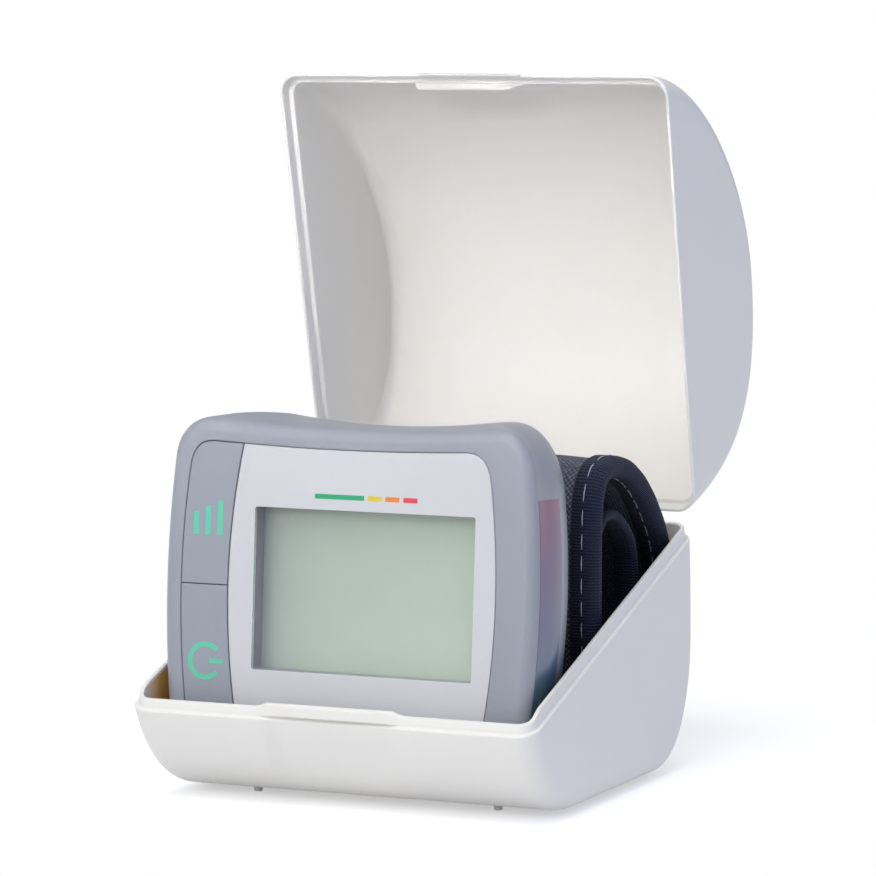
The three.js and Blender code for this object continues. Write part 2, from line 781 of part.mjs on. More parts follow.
const glassX = grown(windowX, displayMargin);
const glassZ = [windowBottom - displayLowMargin, windowTop + displayMargin];
const glassSpan = [displayDepth, displayDepth + displayThickness];
piece("display_glass", block(glassX, glassSpan, glassZ), displayGreen, monitorGroup);

const boardFace = boardDepth - gap;
function displayFrameSolid() {
  const outerZ = grown(glassZ, gap + displayFrameWall);
  const outer = block(grown(glassX, gap + displayFrameWall), [displayDepth, boardFace], outerZ);
  const seat = block(grown(glassX, gap), [displayDepth - overrun, glassSpan[1] + gap], grown(glassZ, gap));
  const open = block(glassX, [displayDepth - overrun, boardDepth], glassZ);
  const ledge = contactStripThickness + gap;
  const rail = block(
    glassX,
    [glassSpan[1] + gap, boardFace],
    [glassZ[0] + ledge, glassZ[1] - ledge],
  );
  const window = block(
    grown(glassX, -displayFrameWall),
    [glassSpan[1], boardDepth],
    [glassZ[0] + ledge + displayFrameWall, glassZ[1] - ledge - displayFrameWall],
  );
  return outer.subtract(seat).subtract(open).add(rail.subtract(window));
}
piece("display_frame", displayFrameSolid(), blackPlastic, monitorGroup);

const stripSpan = [glassSpan[1] + gap, boardFace];
const stripX = grown(glassX, -gap);
const lowerStrip = [glassZ[0], glassZ[0] + contactStripThickness];
const upperStrip = [glassZ[1] - contactStripThickness, glassZ[1]];
piece("display_connector_lower", block(stripX, stripSpan, lowerStrip), rubberGrey, monitorGroup);
piece("display_connector_upper", block(stripX, stripSpan, upperStrip), rubberGrey, monitorGroup);

const boardSpan = [boardDepth, boardDepth + boardThickness];
function mainBoardSolid() {
  const edge = inset(monitorSide, housingWall + boardMargin / 2);
  let board = prism("y", edge, boardSpan[0], boardSpan[1]);
  board = board.subtract(
    block(
      [-monitorHalfWidth, monitorHalfWidth],
      [0, monitorDepth],
      [-monitorHalfHeight - overrun, boardLowEdge],
    ),
  );
  for (const place of screwPlaces) {
    board = board.subtract(rod("y", screwBossRadius + gap, place, 0, monitorDepth));
  }
  return board;
}
piece("main_board", mainBoardSolid(), boardGreen, monitorGroup);

for (const [name, side] of [["memory_switch", 1], ["power_switch", -1]]) {
  const half = switchSize / 2;
  const span = [boardDepth - gap - switchHeight, boardDepth - gap];
  const body = block([keyX - half, keyX + half], span, grown([side * keyZ, side * keyZ], half));
  const stem = rod("y", switchStemRadius, [keyX, side * keyZ], switchTop, span[0] + gap);
  piece(name, body.add(stem), blackPlastic, monitorGroup);
}

// Air system behind the board

const boardBack = boardSpan[1] + gap;
const airLine = [airAxisDepth, airAxisHeight];
const motorEnd = motorSideRoom - monitorHalfWidth;
const motorSpan = [motorEnd, motorEnd + motorLength];
const pumpSpan = [motorSpan[1] + gap, motorSpan[1] + gap + pumpLength];
const valveStart = pumpSpan[1] + tubeLength;
const valveSpan = [valveStart, valveStart + valveLength];
const motor = rod("x", motorRadius, airLine, motorSpan[0], motorSpan[1], roundSides);
piece("pump_motor", motor, steel, monitorGroup);
const pump = rod("x", pumpRadius, airLine, pumpSpan[0], pumpSpan[1], smallSides);
piece("pump_head", pump, blackPlastic, monitorGroup);
const valve = rod("x", valveRadius, airLine, valveSpan[0], valveSpan[1], roundSides);
piece("exhaust_valve", valve, steel, monitorGroup);

const sensorX = cuffCentre;
const sensorZ = -sensorSize;
const sensor = block(
  grown([sensorX, sensorX], sensorSize / 2),
  [boardBack, boardBack + sensorHeight],
  grown([sensorZ, sensorZ], sensorSize / 2),
);
piece("pressure_sensor", sensor, blackPlastic, monitorGroup);
const buzzerPlace = [windowRight - buzzerRadius, -buzzerRadius];
const buzzer = rod("y", buzzerRadius, buzzerPlace, boardBack, boardBack + buzzerHeight, roundSides);
piece("buzzer", buzzer, blackPlastic, monitorGroup);

const portSpan = [monitorDepth - housingWall - gap * 2 - tubeRadius * 2, monitorDepth];
function airTubeSolid() {
  const feedX = (pumpSpan[1] + valveSpan[0]) / 2;
  const across = rod("x", tubeRadius, airLine, pumpSpan[1] + gap, valveSpan[0] - gap);
  const down = rod("z", tubeLimbRadius, [feedX, airAxisDepth], 0, airAxisHeight);
  const crossEnds = [Math.min(feedX, sensorX) - tubeRadius, Math.max(feedX, sensorX) + tubeRadius];
  const cross = rod("x", tubeRadius, [airAxisDepth, 0], crossEnds[0], crossEnds[1]);
  const back = rod("y", tubeLimbRadius, [sensorX, 0], airAxisDepth, portSpan[0]);
  const drop = rod("z", tubeLimbRadius, [sensorX, airAxisDepth], sensorZ - tubeRadius, 0);
  const sensorTop = boardBack + sensorHeight;
  const tip = rod("y", tubeTipRadius, [sensorX, sensorZ], sensorTop + gap, airAxisDepth);
  return across.add(down).add(cross).add(back).add(drop).add(tip);
}
piece("air_manifold", airTubeSolid(), airRubber, monitorGroup);

// Batteries and contacts

function cellSolid(depth) {
  const half = cellLength / 2;
  const can = rod("x", cellRadius, [depth, cellHeight], -half, half - cellNubHeight, roundSides);
  return can.add(rod("x", cellNubRadius, [depth, cellHeight], 0, half));
}
piece("battery_front", cellSolid(cellDepths[0]), cellGold, monitorGroup);
piece("battery_rear", cellSolid(cellDepths[1]), cellGold, monitorGroup);

for (const [name, side] of [["battery_contact_left", -1], ["battery_contact_right", 1]]) {
  const face = side * (cellLength / 2 + bayEndSpace);
  const tabDepths = [cellDepths[0] - cellRadius / 2, cellDepths[1] + cellRadius / 2];
  const plate = block(
    side < 0 ? [face - contactThickness, face] : [face, face + contactThickness],
    tabDepths,
    [cellHeight - cellRadius, bayRoof - gap],
  );
  let contact = plate;
  for (const depth of cellDepths) {
    const tip = side * (cellLength / 2 + gap);
    const spring = new THREE.ConeGeometry(cellRadius / 2, bayEndSpace - gap, smallSides);
    spring.rotateZ((side * Math.PI) / 2).translate((tip + face) / 2, depth, cellHeight);
    contact = contact.add(solidOf(spring));
  }
  piece(name, contact, steel, monitorGroup);
}

screwPlaces.forEach((place, i) => {
  const headTop = monitorDepth - housingWall;
  const head = rod("y", screwHeadRadius, place, headTop - screwHeadHeight + gap, headTop);
  const shank = rod("y", screwRadius, place, boardSpan[1] + gap, headTop);
  piece("housing_screw_" + (i + 1), head.add(shank), steel, monitorGroup);
});

// Cuff: a padded band rolled behind the monitor, in depth and height of the case

const cuffGroup = new THREE.Group();
group.add(cuffGroup);

// A smooth path through shares of a depth range and of the cuff's height.
function cuffPath(shares, [front, back]) {
  const points = shares.map(([y, z]) => {
    return new THREE.Vector3(0, front + y * (back - front), cuffBottom + z * (cuffTop - cuffBottom));
  });
  return new THREE.CatmullRomCurve3(points, false, "centripetal");
}

const bandShares = [
  [0.065, 0.06],
  [0.01, 0.3],
  [0, 0.55],
  [0.006, 0.78],
  [0.035, 0.91],
  [0.1, 0.985],
  [0.2, 1],
  [0.32, 0.985],
  [0.465, 0.947],
  [0.63, 0.872],
  [0.79, 0.763],
  [0.905, 0.65],
  [0.975, 0.54],
  [1, 0.42],
  [0.93, 0.2],
  [0.75, 0.03],
  [0.5, -0.02],
  [0.31, 0],
];
const tailShares = [
  [0.01, 0.4],
  [0, 0.6],
  [0.03, 0.72],
  [0.14, 0.785],
  [0.32, 0.79],
  [0.47, 0.748],
  [0.615, 0.675],
  [0.67, 0.59],
  [0.67, 0.45],
  [0.59, 0.29],
  [0.41, 0.18],
  [0.14, 0.13],
];
const bandPath = cuffPath(bandShares, [cuffFront, cuffBack]);
const tailRoom = cuffMidHalfThickness + cuffTailThickness / 2 + gap;
const tailPath = cuffPath(tailShares, [cuffFront + tailRoom, cuffBack - tailRoom]);

// Half the band's thickness at a place across its width: thin bound edges, padded middle.
function cuffHalfThickness(x) {
  const across = (x - cuffCentre) / (cuffWidth / 2);
  const crown = Math.max(0, 1 - across ** 2);
  return cuffEdgeHalfThickness + (cuffMidHalfThickness - cuffEdgeHalfThickness) * crown;
}

// A strip along a path, between two distances from it that may change across the width.
function cuffLayer(path, [start, end], [left, right], outer, inner, steps, stations) {
  const positions = [];
  for (let step = 0; step <= steps; step++) {
    const at = start + ((end - start) * step) / steps;
    const centre = path.getPoint(at);
    const along = path.getTangent(at);
    const out = new THREE.Vector3(0, -along.z, along.y);
    for (const [distance, order] of [[outer, 1], [inner, -1]]) {
      for (let i = 0; i <= stations; i++) {
        const share = (order > 0 ? i : stations - i) / stations;
        const x = left + (right - left) * share;
        const point = centre.clone().addScaledVector(out, distance(x)).setX(x);
        positions.push(...point.toArray());
      }
    }
  }
  const count = (stations + 1) * 2;
  const triangles = [];
  for (let step = 0; step < steps; step++) {
    for (let i = 0; i < count; i++) {
      const a = step * count + i;
      const b = step * count + ((i + 1) % count);
      triangles.push(a, b, b + count, a, b + count, a + count);
    }
  }
  const last = steps * count;
  for (let i = 0; i < stations; i++) {
    const far = count - 1 - i;
    triangles.push(i, far, far - 1, i, far - 1, i + 1);
    triangles.push(last + i, last + far - 1, last + far, last + i, last + i + 1, last + far - 1);
  }
  return closedSolid(positions, triangles);
}

const wholePath = [0, 1];
const clothSpan = [cuffLeftEdge + cuffBindingWidth + gap, cuffRightEdge - cuffBindingWidth - gap];
const underCloth = cuffClothThickness + gap;
const cover = cuffLayer(
  bandPath,
  wholePath,
  clothSpan,
  cuffHalfThickness,
  (x) => cuffHalfThickness(x) - cuffClothThickness,
  bandSteps,
  bandStations,
);
const lining = cuffLayer(
  bandPath,
  wholePath,
  clothSpan,
  (x) => cuffClothThickness - cuffHalfThickness(x),
  (x) => -cuffHalfThickness(x),
  bandSteps,
  bandStations,
);
const corePath = [coreEndShare, 1 - coreEndShare];
const coreSpan = grown(clothSpan, -cuffStiffenerInset);
const stiffener = cuffLayer(
  bandPath,
  corePath,
  coreSpan,
  (x) => cuffHalfThickness(x) - underCloth,
  (x) => cuffHalfThickness(x) - underCloth - cuffStiffenerThickness,
  bandSteps,
  bandStations / 2,
);
const bladder = cuffLayer(
  bandPath,
  corePath,
  coreSpan,
  (x) => cuffHalfThickness(x) - underCloth - cuffStiffenerThickness - gap,
  (x) => underCloth - cuffHalfThickness(x),
  bandSteps,
  bandStations / 2,
);

// Air port: from the monitor through the cover and the stiffener to the bladder.
const bladderFace = cuffFront - cuffMidHalfThickness + underCloth + cuffStiffenerThickness + gap;
const portEnd = bladderFace - monitorFaceBehindRim - gap;
const portHole = rod("y", portRadius + gap, [cuffCentre, 0], 0, portEnd + gap / 2)
  .rotate([-monitorLean, 0, 0])
  .translate([0, monitorFaceBehindRim, monitorCentreHeight]);
piece("cuff_cover", cover.subtract(portHole), cuffMesh, cuffGroup);
piece("cuff_lining", lining, cuffNavy, cuffGroup);
piece("cuff_stiffener", stiffener.subtract(portHole), stiffenerPlastic, cuffGroup);
piece("cuff_bladder", bladder, bladderFilm, cuffGroup);

for (const [name, from, to] of [
  ["cuff_binding_left", cuffLeftEdge, cuffLeftEdge + cuffBindingWidth],
  ["cuff_binding_right", cuffRightEdge - cuffBindingWidth, cuffRightEdge],
]) {
  const edge = cuffHalfThickness(cuffLeftEdge + cuffBindingWidth / 2);
  const tape = cuffLayer(bandPath, wholePath, [from, to], () => edge, () => -edge, bandSteps, 1);
  piece(name, tape, cuffNavy, cuffGroup);
}

const tailSpan = grown([cuffLeftEdge, cuffRightEdge], -cuffTailInset);
const tailHalf = cuffTailThickness / 2;
const tail = cuffLayer(tailPath, wholePath, tailSpan, () => tailHalf, () => -tailHalf, tailSteps, 1);
piece("cuff_tail", tail, cuffNavy, cuffGroup);
const padFar = tailHalf + gap + cuffPadThickness;
const pad = cuffLayer(
  tailPath,
  padPathShares,
  grown(tailSpan, -cuffPadInset),
  () => -tailHalf - gap,
  () => -padFar,
  bandStations / 2,
  1,
);
piece("cuff_fastener", pad, blackPlastic, cuffGroup);

// Bracket that holds the cuff on the back of the monitor
function bracketSolid() {
  const start = monitorDepth + gap;
  const corner = bracketThickness * 2;
  const halfX = bracketHalfWidth;
  const halfZ = bracketHalfHeight;
  const outline = [
    [cuffCentre - halfX, -halfZ + corner],
    [cuffCentre - halfX + corner, -halfZ],
    [cuffCentre + halfX - corner, -halfZ],
    [cuffCentre + halfX, -halfZ + corner],
    [cuffCentre + halfX, halfZ - corner],
    [cuffCentre + halfX - corner, halfZ],
    [cuffCentre - halfX + corner, halfZ],
    [cuffCentre - halfX, halfZ - corner],
  ].map(([x, z]) => new THREE.Vector2(x, z));
  const plate = prism("y", outline, start, start + bracketThickness);
  return plate.subtract(rod("y", portRadius + gap, [cuffCentre, 0], 0, monitorDepth * 2));
}
piece("cuff_bracket", bracketSolid(), blackPlastic, monitorGroup);

const port = rod("y", portRadius, [cuffCentre, 0], portSpan[0] + gap, portEnd);
const collarEnd = monitorDepth - housingWall - gap;
const portCollar = rod("y", portCollarRadius, [cuffCentre, 0], portSpan[0] + gap, collarEnd);
piece("air_port", port.add(portCollar), airRubber, monitorGroup);

// Stand the model on its feet, with the origin under the middle of its bounding box.
group.updateMatrixWorld(true);
const bounds = new THREE.Box3().setFromObject(group, true);
group.position.set(0, -(bounds.min.y + bounds.max.y) / 2, -bounds.min.z);

export default group;
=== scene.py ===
# Wrist blood pressure monitor standing on its side in its open storage case.
import math

import bmesh
import bpy
import numpy as np
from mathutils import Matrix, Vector


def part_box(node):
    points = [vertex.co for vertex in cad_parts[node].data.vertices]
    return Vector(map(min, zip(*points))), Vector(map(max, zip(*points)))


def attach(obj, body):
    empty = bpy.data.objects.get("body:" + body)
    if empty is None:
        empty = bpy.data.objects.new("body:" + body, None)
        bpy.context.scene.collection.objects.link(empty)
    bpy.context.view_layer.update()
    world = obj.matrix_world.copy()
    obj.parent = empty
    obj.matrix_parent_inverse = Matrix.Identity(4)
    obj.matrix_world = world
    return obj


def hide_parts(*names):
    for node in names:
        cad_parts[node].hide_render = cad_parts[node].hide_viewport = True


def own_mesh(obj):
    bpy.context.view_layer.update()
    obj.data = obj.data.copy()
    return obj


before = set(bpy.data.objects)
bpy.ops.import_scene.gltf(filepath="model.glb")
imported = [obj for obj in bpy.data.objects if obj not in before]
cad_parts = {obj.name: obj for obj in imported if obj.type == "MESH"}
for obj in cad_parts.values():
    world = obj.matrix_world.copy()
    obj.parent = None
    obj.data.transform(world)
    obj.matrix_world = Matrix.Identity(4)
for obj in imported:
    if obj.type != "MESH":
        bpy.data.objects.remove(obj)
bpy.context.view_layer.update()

# Lengths are in millimetres, in the frame of the closed case: X across, Y to the back from the
# front of the tub, Z up from its floor. row() turns them into metres in the row's frame.
MM = 0.001
FOOT_HEIGHT = 1.0
FRONT_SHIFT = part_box("case_base")[0][1] / MM
CASE_TO_ROW = np.array([0.0, FRONT_SHIFT, FOOT_HEIGHT])

CASE_WIDTH = 90.2
CASE_TAPER = 0.8
CASE_DEPTH = 91.0
CASE_WALL = 1.8
CASE_FILLET = 4.5
FRONT_RIM = 18.4
BACK_RIM = 49.4
FRONT_SCOOP = 26.0
BACK_BULGE = 1.0
BACK_ROUND_DEPTH = 19.0
BACK_ROUND_HEIGHT = 27.0
DOME_HEIGHT = 46.0
DOME_CREST = 0.433
DOME_REAR = (0.005, 0.62, 0.27, 1.0)
DOME_FRONT = (0.42, 1.0, 0.9, 0.51)
LIP_HEIGHT = 2.9
LIP_INSET = 0.9
LIP_PLAY = 0.2
EDGE_ROUND = 0.35
RIM_GAP = 0.3
HINGE_Y = CASE_DEPTH + 1.9
HINGE_Z = BACK_RIM + 2.0
LID_ANGLE = math.radians(96.3)

MONITOR_Y = 9.0
MONITOR_Z = 44.0
MONITOR_LEAN = math.radians(4.0)
HALF_WIDTH = 41.8
HALF_HEIGHT = 34.4
DEPTH = 28.5
SIDE_BULGE = 1.4
END_HOLLOW = 1.2
CORNER = 7.8
CORNER_ARC = 0.55
REAR_CORNER = 13.4
REAR_HALF_HEIGHT = 35.1
REAR_END_HOLLOW = 1.7
REAR_FORM_DEPTHS = (0.5, 7.0)
SIDE_CROWN = 0.5
FACE_ROUND = 2.6
REAR_ROUND = 4.0
REAR_SIDE_START = 9.0
REAR_SIDE_INSET = 8.2
WALL = 1.8
SPLIT = 23.6
FACE_INSET = 4.7
LENS_RIGHT = 33.1
LENS_RIGHT_BOW = 1.7
LENS_CORNER = 5.5
STRIP_EDGE = 26.5
STRIP_EDGE_BOW = 2.9
STRIP_OUTER = 37.3
STRIP_OUTER_BOW = 1.6
STRIP_CORNER = 4.6
WINDOW = (-20.7, 28.3, -16.8, 16.4)
WINDOW_CORNER = 0.5
DISPLAY_DEPTH = 5.0
LENS_THICKNESS = 1.2

CUFF_RIGHT = 41.0
CUFF_WIDTH = 74.0
CUFF_LEFT = CUFF_RIGHT - CUFF_WIDTH
CUFF_CENTRE = CUFF_RIGHT - CUFF_WIDTH / 2
BINDING = 6.0
BAND_EDGE_HALF = 1.7
BAND_MID_HALF = 3.4
CUFF_FRONT = 45.3
CUFF_BACK = 86.6
TAIL_ROOM = 4.7
CUFF_TOP = 67.3
CUFF_BOTTOM = 14.0

# Camera at the photograph's view
CAMERA_AZIMUTH = math.radians(24.1735)
CAMERA_ELEVATION = math.radians(5.5008)
CAMERA_DISTANCE = 916.338
CAMERA_TARGET = np.array([8.835, 35.2, 73.292])
IMAGE_SIZE = 876
FOCAL_PIXELS = 4453.8
SENSOR_WIDTH = 36.0


def row(point):
    """A point of the case frame in metres in the row's frame."""
    return (np.asarray(point, float) + CASE_TO_ROW) * MM


def add_object(name, data):
    made = bpy.data.objects.new(name, data)
    bpy.context.scene.collection.objects.link(made)
    return made


def make_camera():
    camera = add_object("camera", bpy.data.cameras.new("camera"))
    bpy.context.scene.camera = camera
    flat = math.cos(CAMERA_ELEVATION)
    out = np.array([
        math.sin(CAMERA_AZIMUTH) * flat,
        -math.cos(CAMERA_AZIMUTH) * flat,
        math.sin(CAMERA_ELEVATION),
    ])
    camera.location = Vector(row(CAMERA_TARGET + out * CAMERA_DISTANCE))
    camera.rotation_euler = Vector(-out).to_track_quat("-Z", "Y").to_euler()
    camera.data.sensor_width = SENSOR_WIDTH
    camera.data.lens = FOCAL_PIXELS / IMAGE_SIZE * SENSOR_WIDTH
    camera.data.clip_start = 0.01
    camera.data.clip_end = 20.0


make_camera()


# Materials

def node(tree, kind, inputs=None, **values):
    """A shader node. An input, by name or number, is a constant or the socket that drives it."""
    made = tree.nodes.new(kind)
    for name, value in values.items():
        setattr(made, name, value)
    for name, value in (inputs or {}).items():
        if isinstance(value, bpy.types.NodeSocket):
            tree.links.new(value, made.inputs[name])
        else:
            made.inputs[name].default_value = value
    return made


class Finish:
    """A principled material with short ways to drive its sockets."""

    def __init__(self, name, color, roughness, **sockets):
        self.material = bpy.data.materials.new(name)
        self.material.use_nodes = True
        self.tree = self.material.node_tree
        self.shader = self.tree.nodes["Principled BSDF"]
        self.shader.inputs["Base Color"].default_value = (*color, 1)
        self.shader.inputs["Roughness"].default_value = roughness
        for socket, value in sockets.items():
            self.shader.inputs[socket.replace("_", " ")].default_value = value
        self.place = None

    def node(self, kind, inputs, output, **values):
        return node(self.tree, kind, inputs, **values).outputs[output]

    def coordinates(self):
        if self.place is None:
            self.place = self.node("ShaderNodeTexCoord", None, "Object")
        return self.place

    def mapped(self, scale, turn=(0, 0, 0), place=None):
        inputs = {"Scale": scale, "Rotation": turn, "Vector": place or self.coordinates()}
        return self.node("ShaderNodeMapping", inputs, "Vector")

    def noise(self, scale, detail, place=None):
        inputs = {"Scale": scale, "Detail": detail, "Vector": place or self.coordinates()}
        return self.node("ShaderNodeTexNoise", inputs, "Fac")

    def spread(self, factor, low, high, start=0.0, end=1.0):
        inputs = {"Value": factor, "From Min": start, "From Max": end, "To Min": low,
                  "To Max": high}
        return self.node("ShaderNodeMapRange", inputs, "Result")

    def math(self, operation, *values):
        return self.node("ShaderNodeMath", dict(enumerate(values)), "Value", operation=operation)

    def axis(self, which, place=None):
        return self.node("ShaderNodeSeparateXYZ", {"Vector": place or self.coordinates()}, which)

    def drive(self, socket, source):
        self.tree.links.new(source, self.shader.inputs[socket])

    def bump(self, height, strength, distance):
        inputs = {"Strength": strength, "Distance": distance, "Height": height}
        self.drive("Normal", self.node("ShaderNodeBump", inputs, "Normal"))

    def tint(self, factor, stops):
        """Colours the surface by a ramp of positions and colours."""
        ramp = node(self.tree, "ShaderNodeValToRGB", {"Fac": factor})
        elements = ramp.color_ramp.elements
        while len(elements) < len(stops):
            elements.new(0.5)
        for element, (position, color) in zip(elements, stops):
            element.position = position
            element.color = (*color, 1)
        self.drive("Base Color", ramp.outputs["Color"])

    def surface(self, shader):
        self.tree.links.new(shader, self.tree.nodes["Material Output"].inputs["Surface"])


def shade(color, factor):
    return tuple(min(1.0, channel * factor) for channel in color)


def plastic(name, color, roughness, grain=0.0, mottle=0.04, **sockets):
    """Moulded plastic: a little colour drift, uneven gloss and, where asked, a fine grain."""
    finish = Finish(name, color, roughness, **sockets)
    stops = [(0.35, shade(color, 1 - mottle)), (0.65, shade(color, 1 + mottle))]
    finish.tint(finish.noise(35.0, 3.0), stops)
    gloss = finish.spread(finish.noise(160.0, 5.0), roughness * 0.85, roughness * 1.15)
    finish.drive("Roughness", gloss)
    if grain:
        finish.bump(finish.noise(5200.0, 2.0), grain, 0.00002)
    return finish.material


def lens_finish():
    """Silver print behind a glossy skin, without the grain of the housings."""
    finish = Finish("lens_silver", (0.635, 0.64, 0.67), 0.3, Coat_Weight=0.5, Coat_Roughness=0.06)
    stops = [(0.35, (0.625, 0.632, 0.66)), (0.65, (0.645, 0.65, 0.675))]
    finish.tint(finish.noise(22.0, 1.0), stops)
    return finish.material


def glass_finish():
    """Clear window: glass that lets the lamps through to what is behind it."""
    finish = Finish("window_clear", (0.97, 0.99, 0.98), 0.03, Transmission_Weight=1.0, IOR=1.3)
    clear = finish.node("ShaderNodeBsdfTransparent", None, "BSDF")
    shadow = finish.node("ShaderNodeLightPath", None, "Is Shadow Ray")
    inputs = {"Fac": shadow, 1: finish.shader.outputs["BSDF"], 2: clear}
    finish.surface(finish.node("ShaderNodeMixShader", inputs, "Shader"))
    return finish.material


def display_finish():
    """Switched off liquid crystal cell: grey green, with a painted shadow of the window's edge
    darkening its left side.
    """
    finish = Finish("display_green_painted_shadow", (0.45, 0.54, 0.46), 0.22)
    across = finish.spread(finish.axis("X"), 0.0, 1.0, WINDOW[0] * MM, WINDOW[1] * MM)
    # The dark first stops are a painted shadow, cast by the window's edge on the cell
    finish.tint(across, [
        (0.0, (0.25, 0.28, 0.29)),
        (0.12, (0.31, 0.36, 0.33)),
        (0.3, (0.345, 0.41, 0.36)),
        (1.0, (0.385, 0.45, 0.385)),
    ])
    return finish.material


def metal(name, color, roughness):
    """Plated metal with faint streaks in its gloss."""
    finish = Finish(name, color, roughness, Metallic=1.0)
    streaks = finish.noise(400.0, 3.0, finish.mapped((1.0, 12.0, 12.0)))
    finish.drive("Roughness", finish.spread(streaks, roughness * 0.7, roughness * 1.4))
    return finish.material


def cloth_place(finish):
    return finish.node("ShaderNodeUVMap", None, "UV", uv_map="cloth")


def cloth(name, dark, light, pitch, depth, turn=0.0):
    """Plain weave with a fuzz of fibres. The pitch is in millimetres, the depth in metres."""
    finish = Finish(name, dark, 0.9, Sheen_Weight=0.05, Sheen_Roughness=0.4, Specular_IOR_Level=0.2)
    place = finish.mapped((1 / pitch, 1 / pitch, 1.0), (0, 0, turn), cloth_place(finish))
    waves = [finish.math("SINE", finish.math("MULTIPLY", finish.axis(axis, place), math.tau))
             for axis in "XY"]
    height = finish.math("MULTIPLY", *waves)
    finish.bump(height, 0.7, depth)
    mixed = finish.math("ADD", finish.math("MULTIPLY", height, 0.35), finish.noise(900.0, 4.0))
    finish.tint(mixed, [(0.25, dark), (0.85, light)])
    return finish.material


def ribbed_tape():
    """Navy edge tape with fine cross ribs."""
    finish = Finish("cuff_tape", (0.02, 0.024, 0.06), 0.75, Sheen_Weight=0.06,
                    Specular_IOR_Level=0.25)
    place = cloth_place(finish)
    along = finish.math("MULTIPLY", finish.axis("X", place), math.tau / 0.62)
    across = finish.math("MULTIPLY", finish.axis("Y", place), math.tau / 0.9)
    sway = finish.math("MULTIPLY", finish.math("SINE", across), 0.8)
    ribs = finish.math("SINE", finish.math("ADD", along, sway))
    finish.bump(ribs, 0.8, 0.00012)
    finish.tint(finish.spread(ribs, 0.5, 1.0), [
        (0.5, (0.008, 0.011, 0.03)),
        (1.0, (0.026, 0.033, 0.078)),
    ])
    return finish.material


def bare_label(name, color, roughness, axis, limits, mottle, stops, **sockets):
    """A bare label whose colour runs softly along an axis, between two limits in metres."""
    finish = Finish(name, color, roughness, **sockets)
    along = finish.spread(finish.axis(axis), 0.0, 1.0, *limits)
    scale, detail, weight, lowered = mottle
    mixed = finish.math("ADD", along, finish.math("MULTIPLY", finish.noise(scale, detail), weight))
    if lowered:
        mixed = finish.math("SUBTRACT", mixed, lowered)
    finish.tint(mixed, stops)
    return finish.material


CASE = plastic("case_white", (0.9, 0.88, 0.845), 0.4, mottle=0.006, Coat_Weight=0.08)
HOUSING = plastic("housing_grey", (0.34, 0.355, 0.405), 0.34, grain=0.12, mottle=0.02)
KEY = plastic("key_grey", (0.33, 0.35, 0.4), 0.32, grain=0.1, mottle=0.02)
LENS = lens_finish()
# The window well is housing plastic, coloured darker and bluer than the housing as painted shade
# inside the window's recess
SHADED_WELL = plastic("well_grey_painted_shade", (0.25, 0.25, 0.31), 0.5, mottle=0.03)
GLASS = glass_finish()
DISPLAY = display_finish()
BLACK = plastic("black_plastic", (0.03, 0.03, 0.034), 0.5)
BOARD = plastic("board_green", (0.03, 0.16, 0.07), 0.5)
RUBBER = plastic("contact_rubber", (0.12, 0.12, 0.125), 0.8)
SILICONE = plastic("air_rubber", (0.6, 0.58, 0.53), 0.6)
STEEL = metal("plated_steel", (0.6, 0.6, 0.61), 0.3)
CELL = plastic("cell_jacket", (0.5, 0.32, 0.09), 0.35)
DIAGONAL = 0.785
MESH_CLOTH = cloth("cuff_mesh", (0.06, 0.065, 0.09), (0.19, 0.2, 0.26), 1.1, 0.00025)
LINING_CLOTH = cloth("cuff_lining", (0.035, 0.042, 0.075), (0.13, 0.145, 0.2), 0.9, 0.0002,
                     DIAGONAL)
TAIL_CLOTH = cloth("cuff_tail", (0.012, 0.014, 0.03), (0.05, 0.056, 0.09), 0.8, 0.0002)
TAPE = ribbed_tape()
THREAD = Finish("stitch_thread", (0.42, 0.43, 0.47), 0.7).material
HOOKS = cloth("hook_pad", (0.006, 0.006, 0.008), (0.03, 0.03, 0.035), 0.7, 0.0003, DIAGONAL)
TEAL = plastic("sign_teal", (0.13, 0.6, 0.42), 0.35)
# From green at its foot to pink at its top
SIDE_LABEL = bare_label(
    "side_label", (0.5, 0.4, 0.6), 0.35, "Z", (row((0, 0, 16.5))[2], row((0, 0, 64.2))[2]),
    (260.0, 3.0, 0.22, 0.11),
    [
        (0.04, (0.03, 0.06, 0.035)),
        (0.16, (0.1, 0.19, 0.25)),
        (0.36, (0.07, 0.11, 0.22)),
        (0.52, (0.11, 0.105, 0.23)),
        (0.74, (0.16, 0.09, 0.21)),
        (0.96, (0.26, 0.09, 0.18)),
    ],
    Coat_Weight=0.3,
)
# From beige at the front to orange behind the monitor
INNER_LABEL = bare_label(
    "inner_label", (0.8, 0.4, 0.1), 0.45, "Y", (row((0, 4.0, 0))[1], row((0, 13.0, 0))[1]),
    (300.0, 2.0, 0.2, 0.0),
    [(0.1, (0.8, 0.77, 0.72)), (0.45, (0.92, 0.66, 0.4)), (0.85, (0.95, 0.5, 0.14))],
)
BAR_COLORS = {
    "green": plastic("bar_green", (0.03, 0.4, 0.18), 0.35),
    "yellow": plastic("bar_yellow", (0.75, 0.6, 0.05), 0.35),
    "orange": plastic("bar_orange", (0.85, 0.25, 0.05), 0.35),
    "red": plastic("bar_red", (0.72, 0.06, 0.08), 0.35),
}


# Outlines, as arrays of points in a plane

def quarter_turns(steps):
    return np.linspace(0, math.pi / 2, steps + 1)


def arc(centre, radii, start, end, steps):
    angles = np.linspace(start, end, steps + 1)
    return np.array(centre) + np.column_stack([np.cos(angles), np.sin(angles)]) * radii


def smoothstep(low, high, value):
    t = np.clip((value - low) / (high - low), 0, 1)
    return t * t * (3 - 2 * t)


def quadratic(a, b, c, steps):
    t = np.linspace(0, 1, steps + 1)[:, None]
    return (1 - t) ** 2 * np.array(a) + 2 * t * (1 - t) * np.array(b) + t ** 2 * np.array(c)


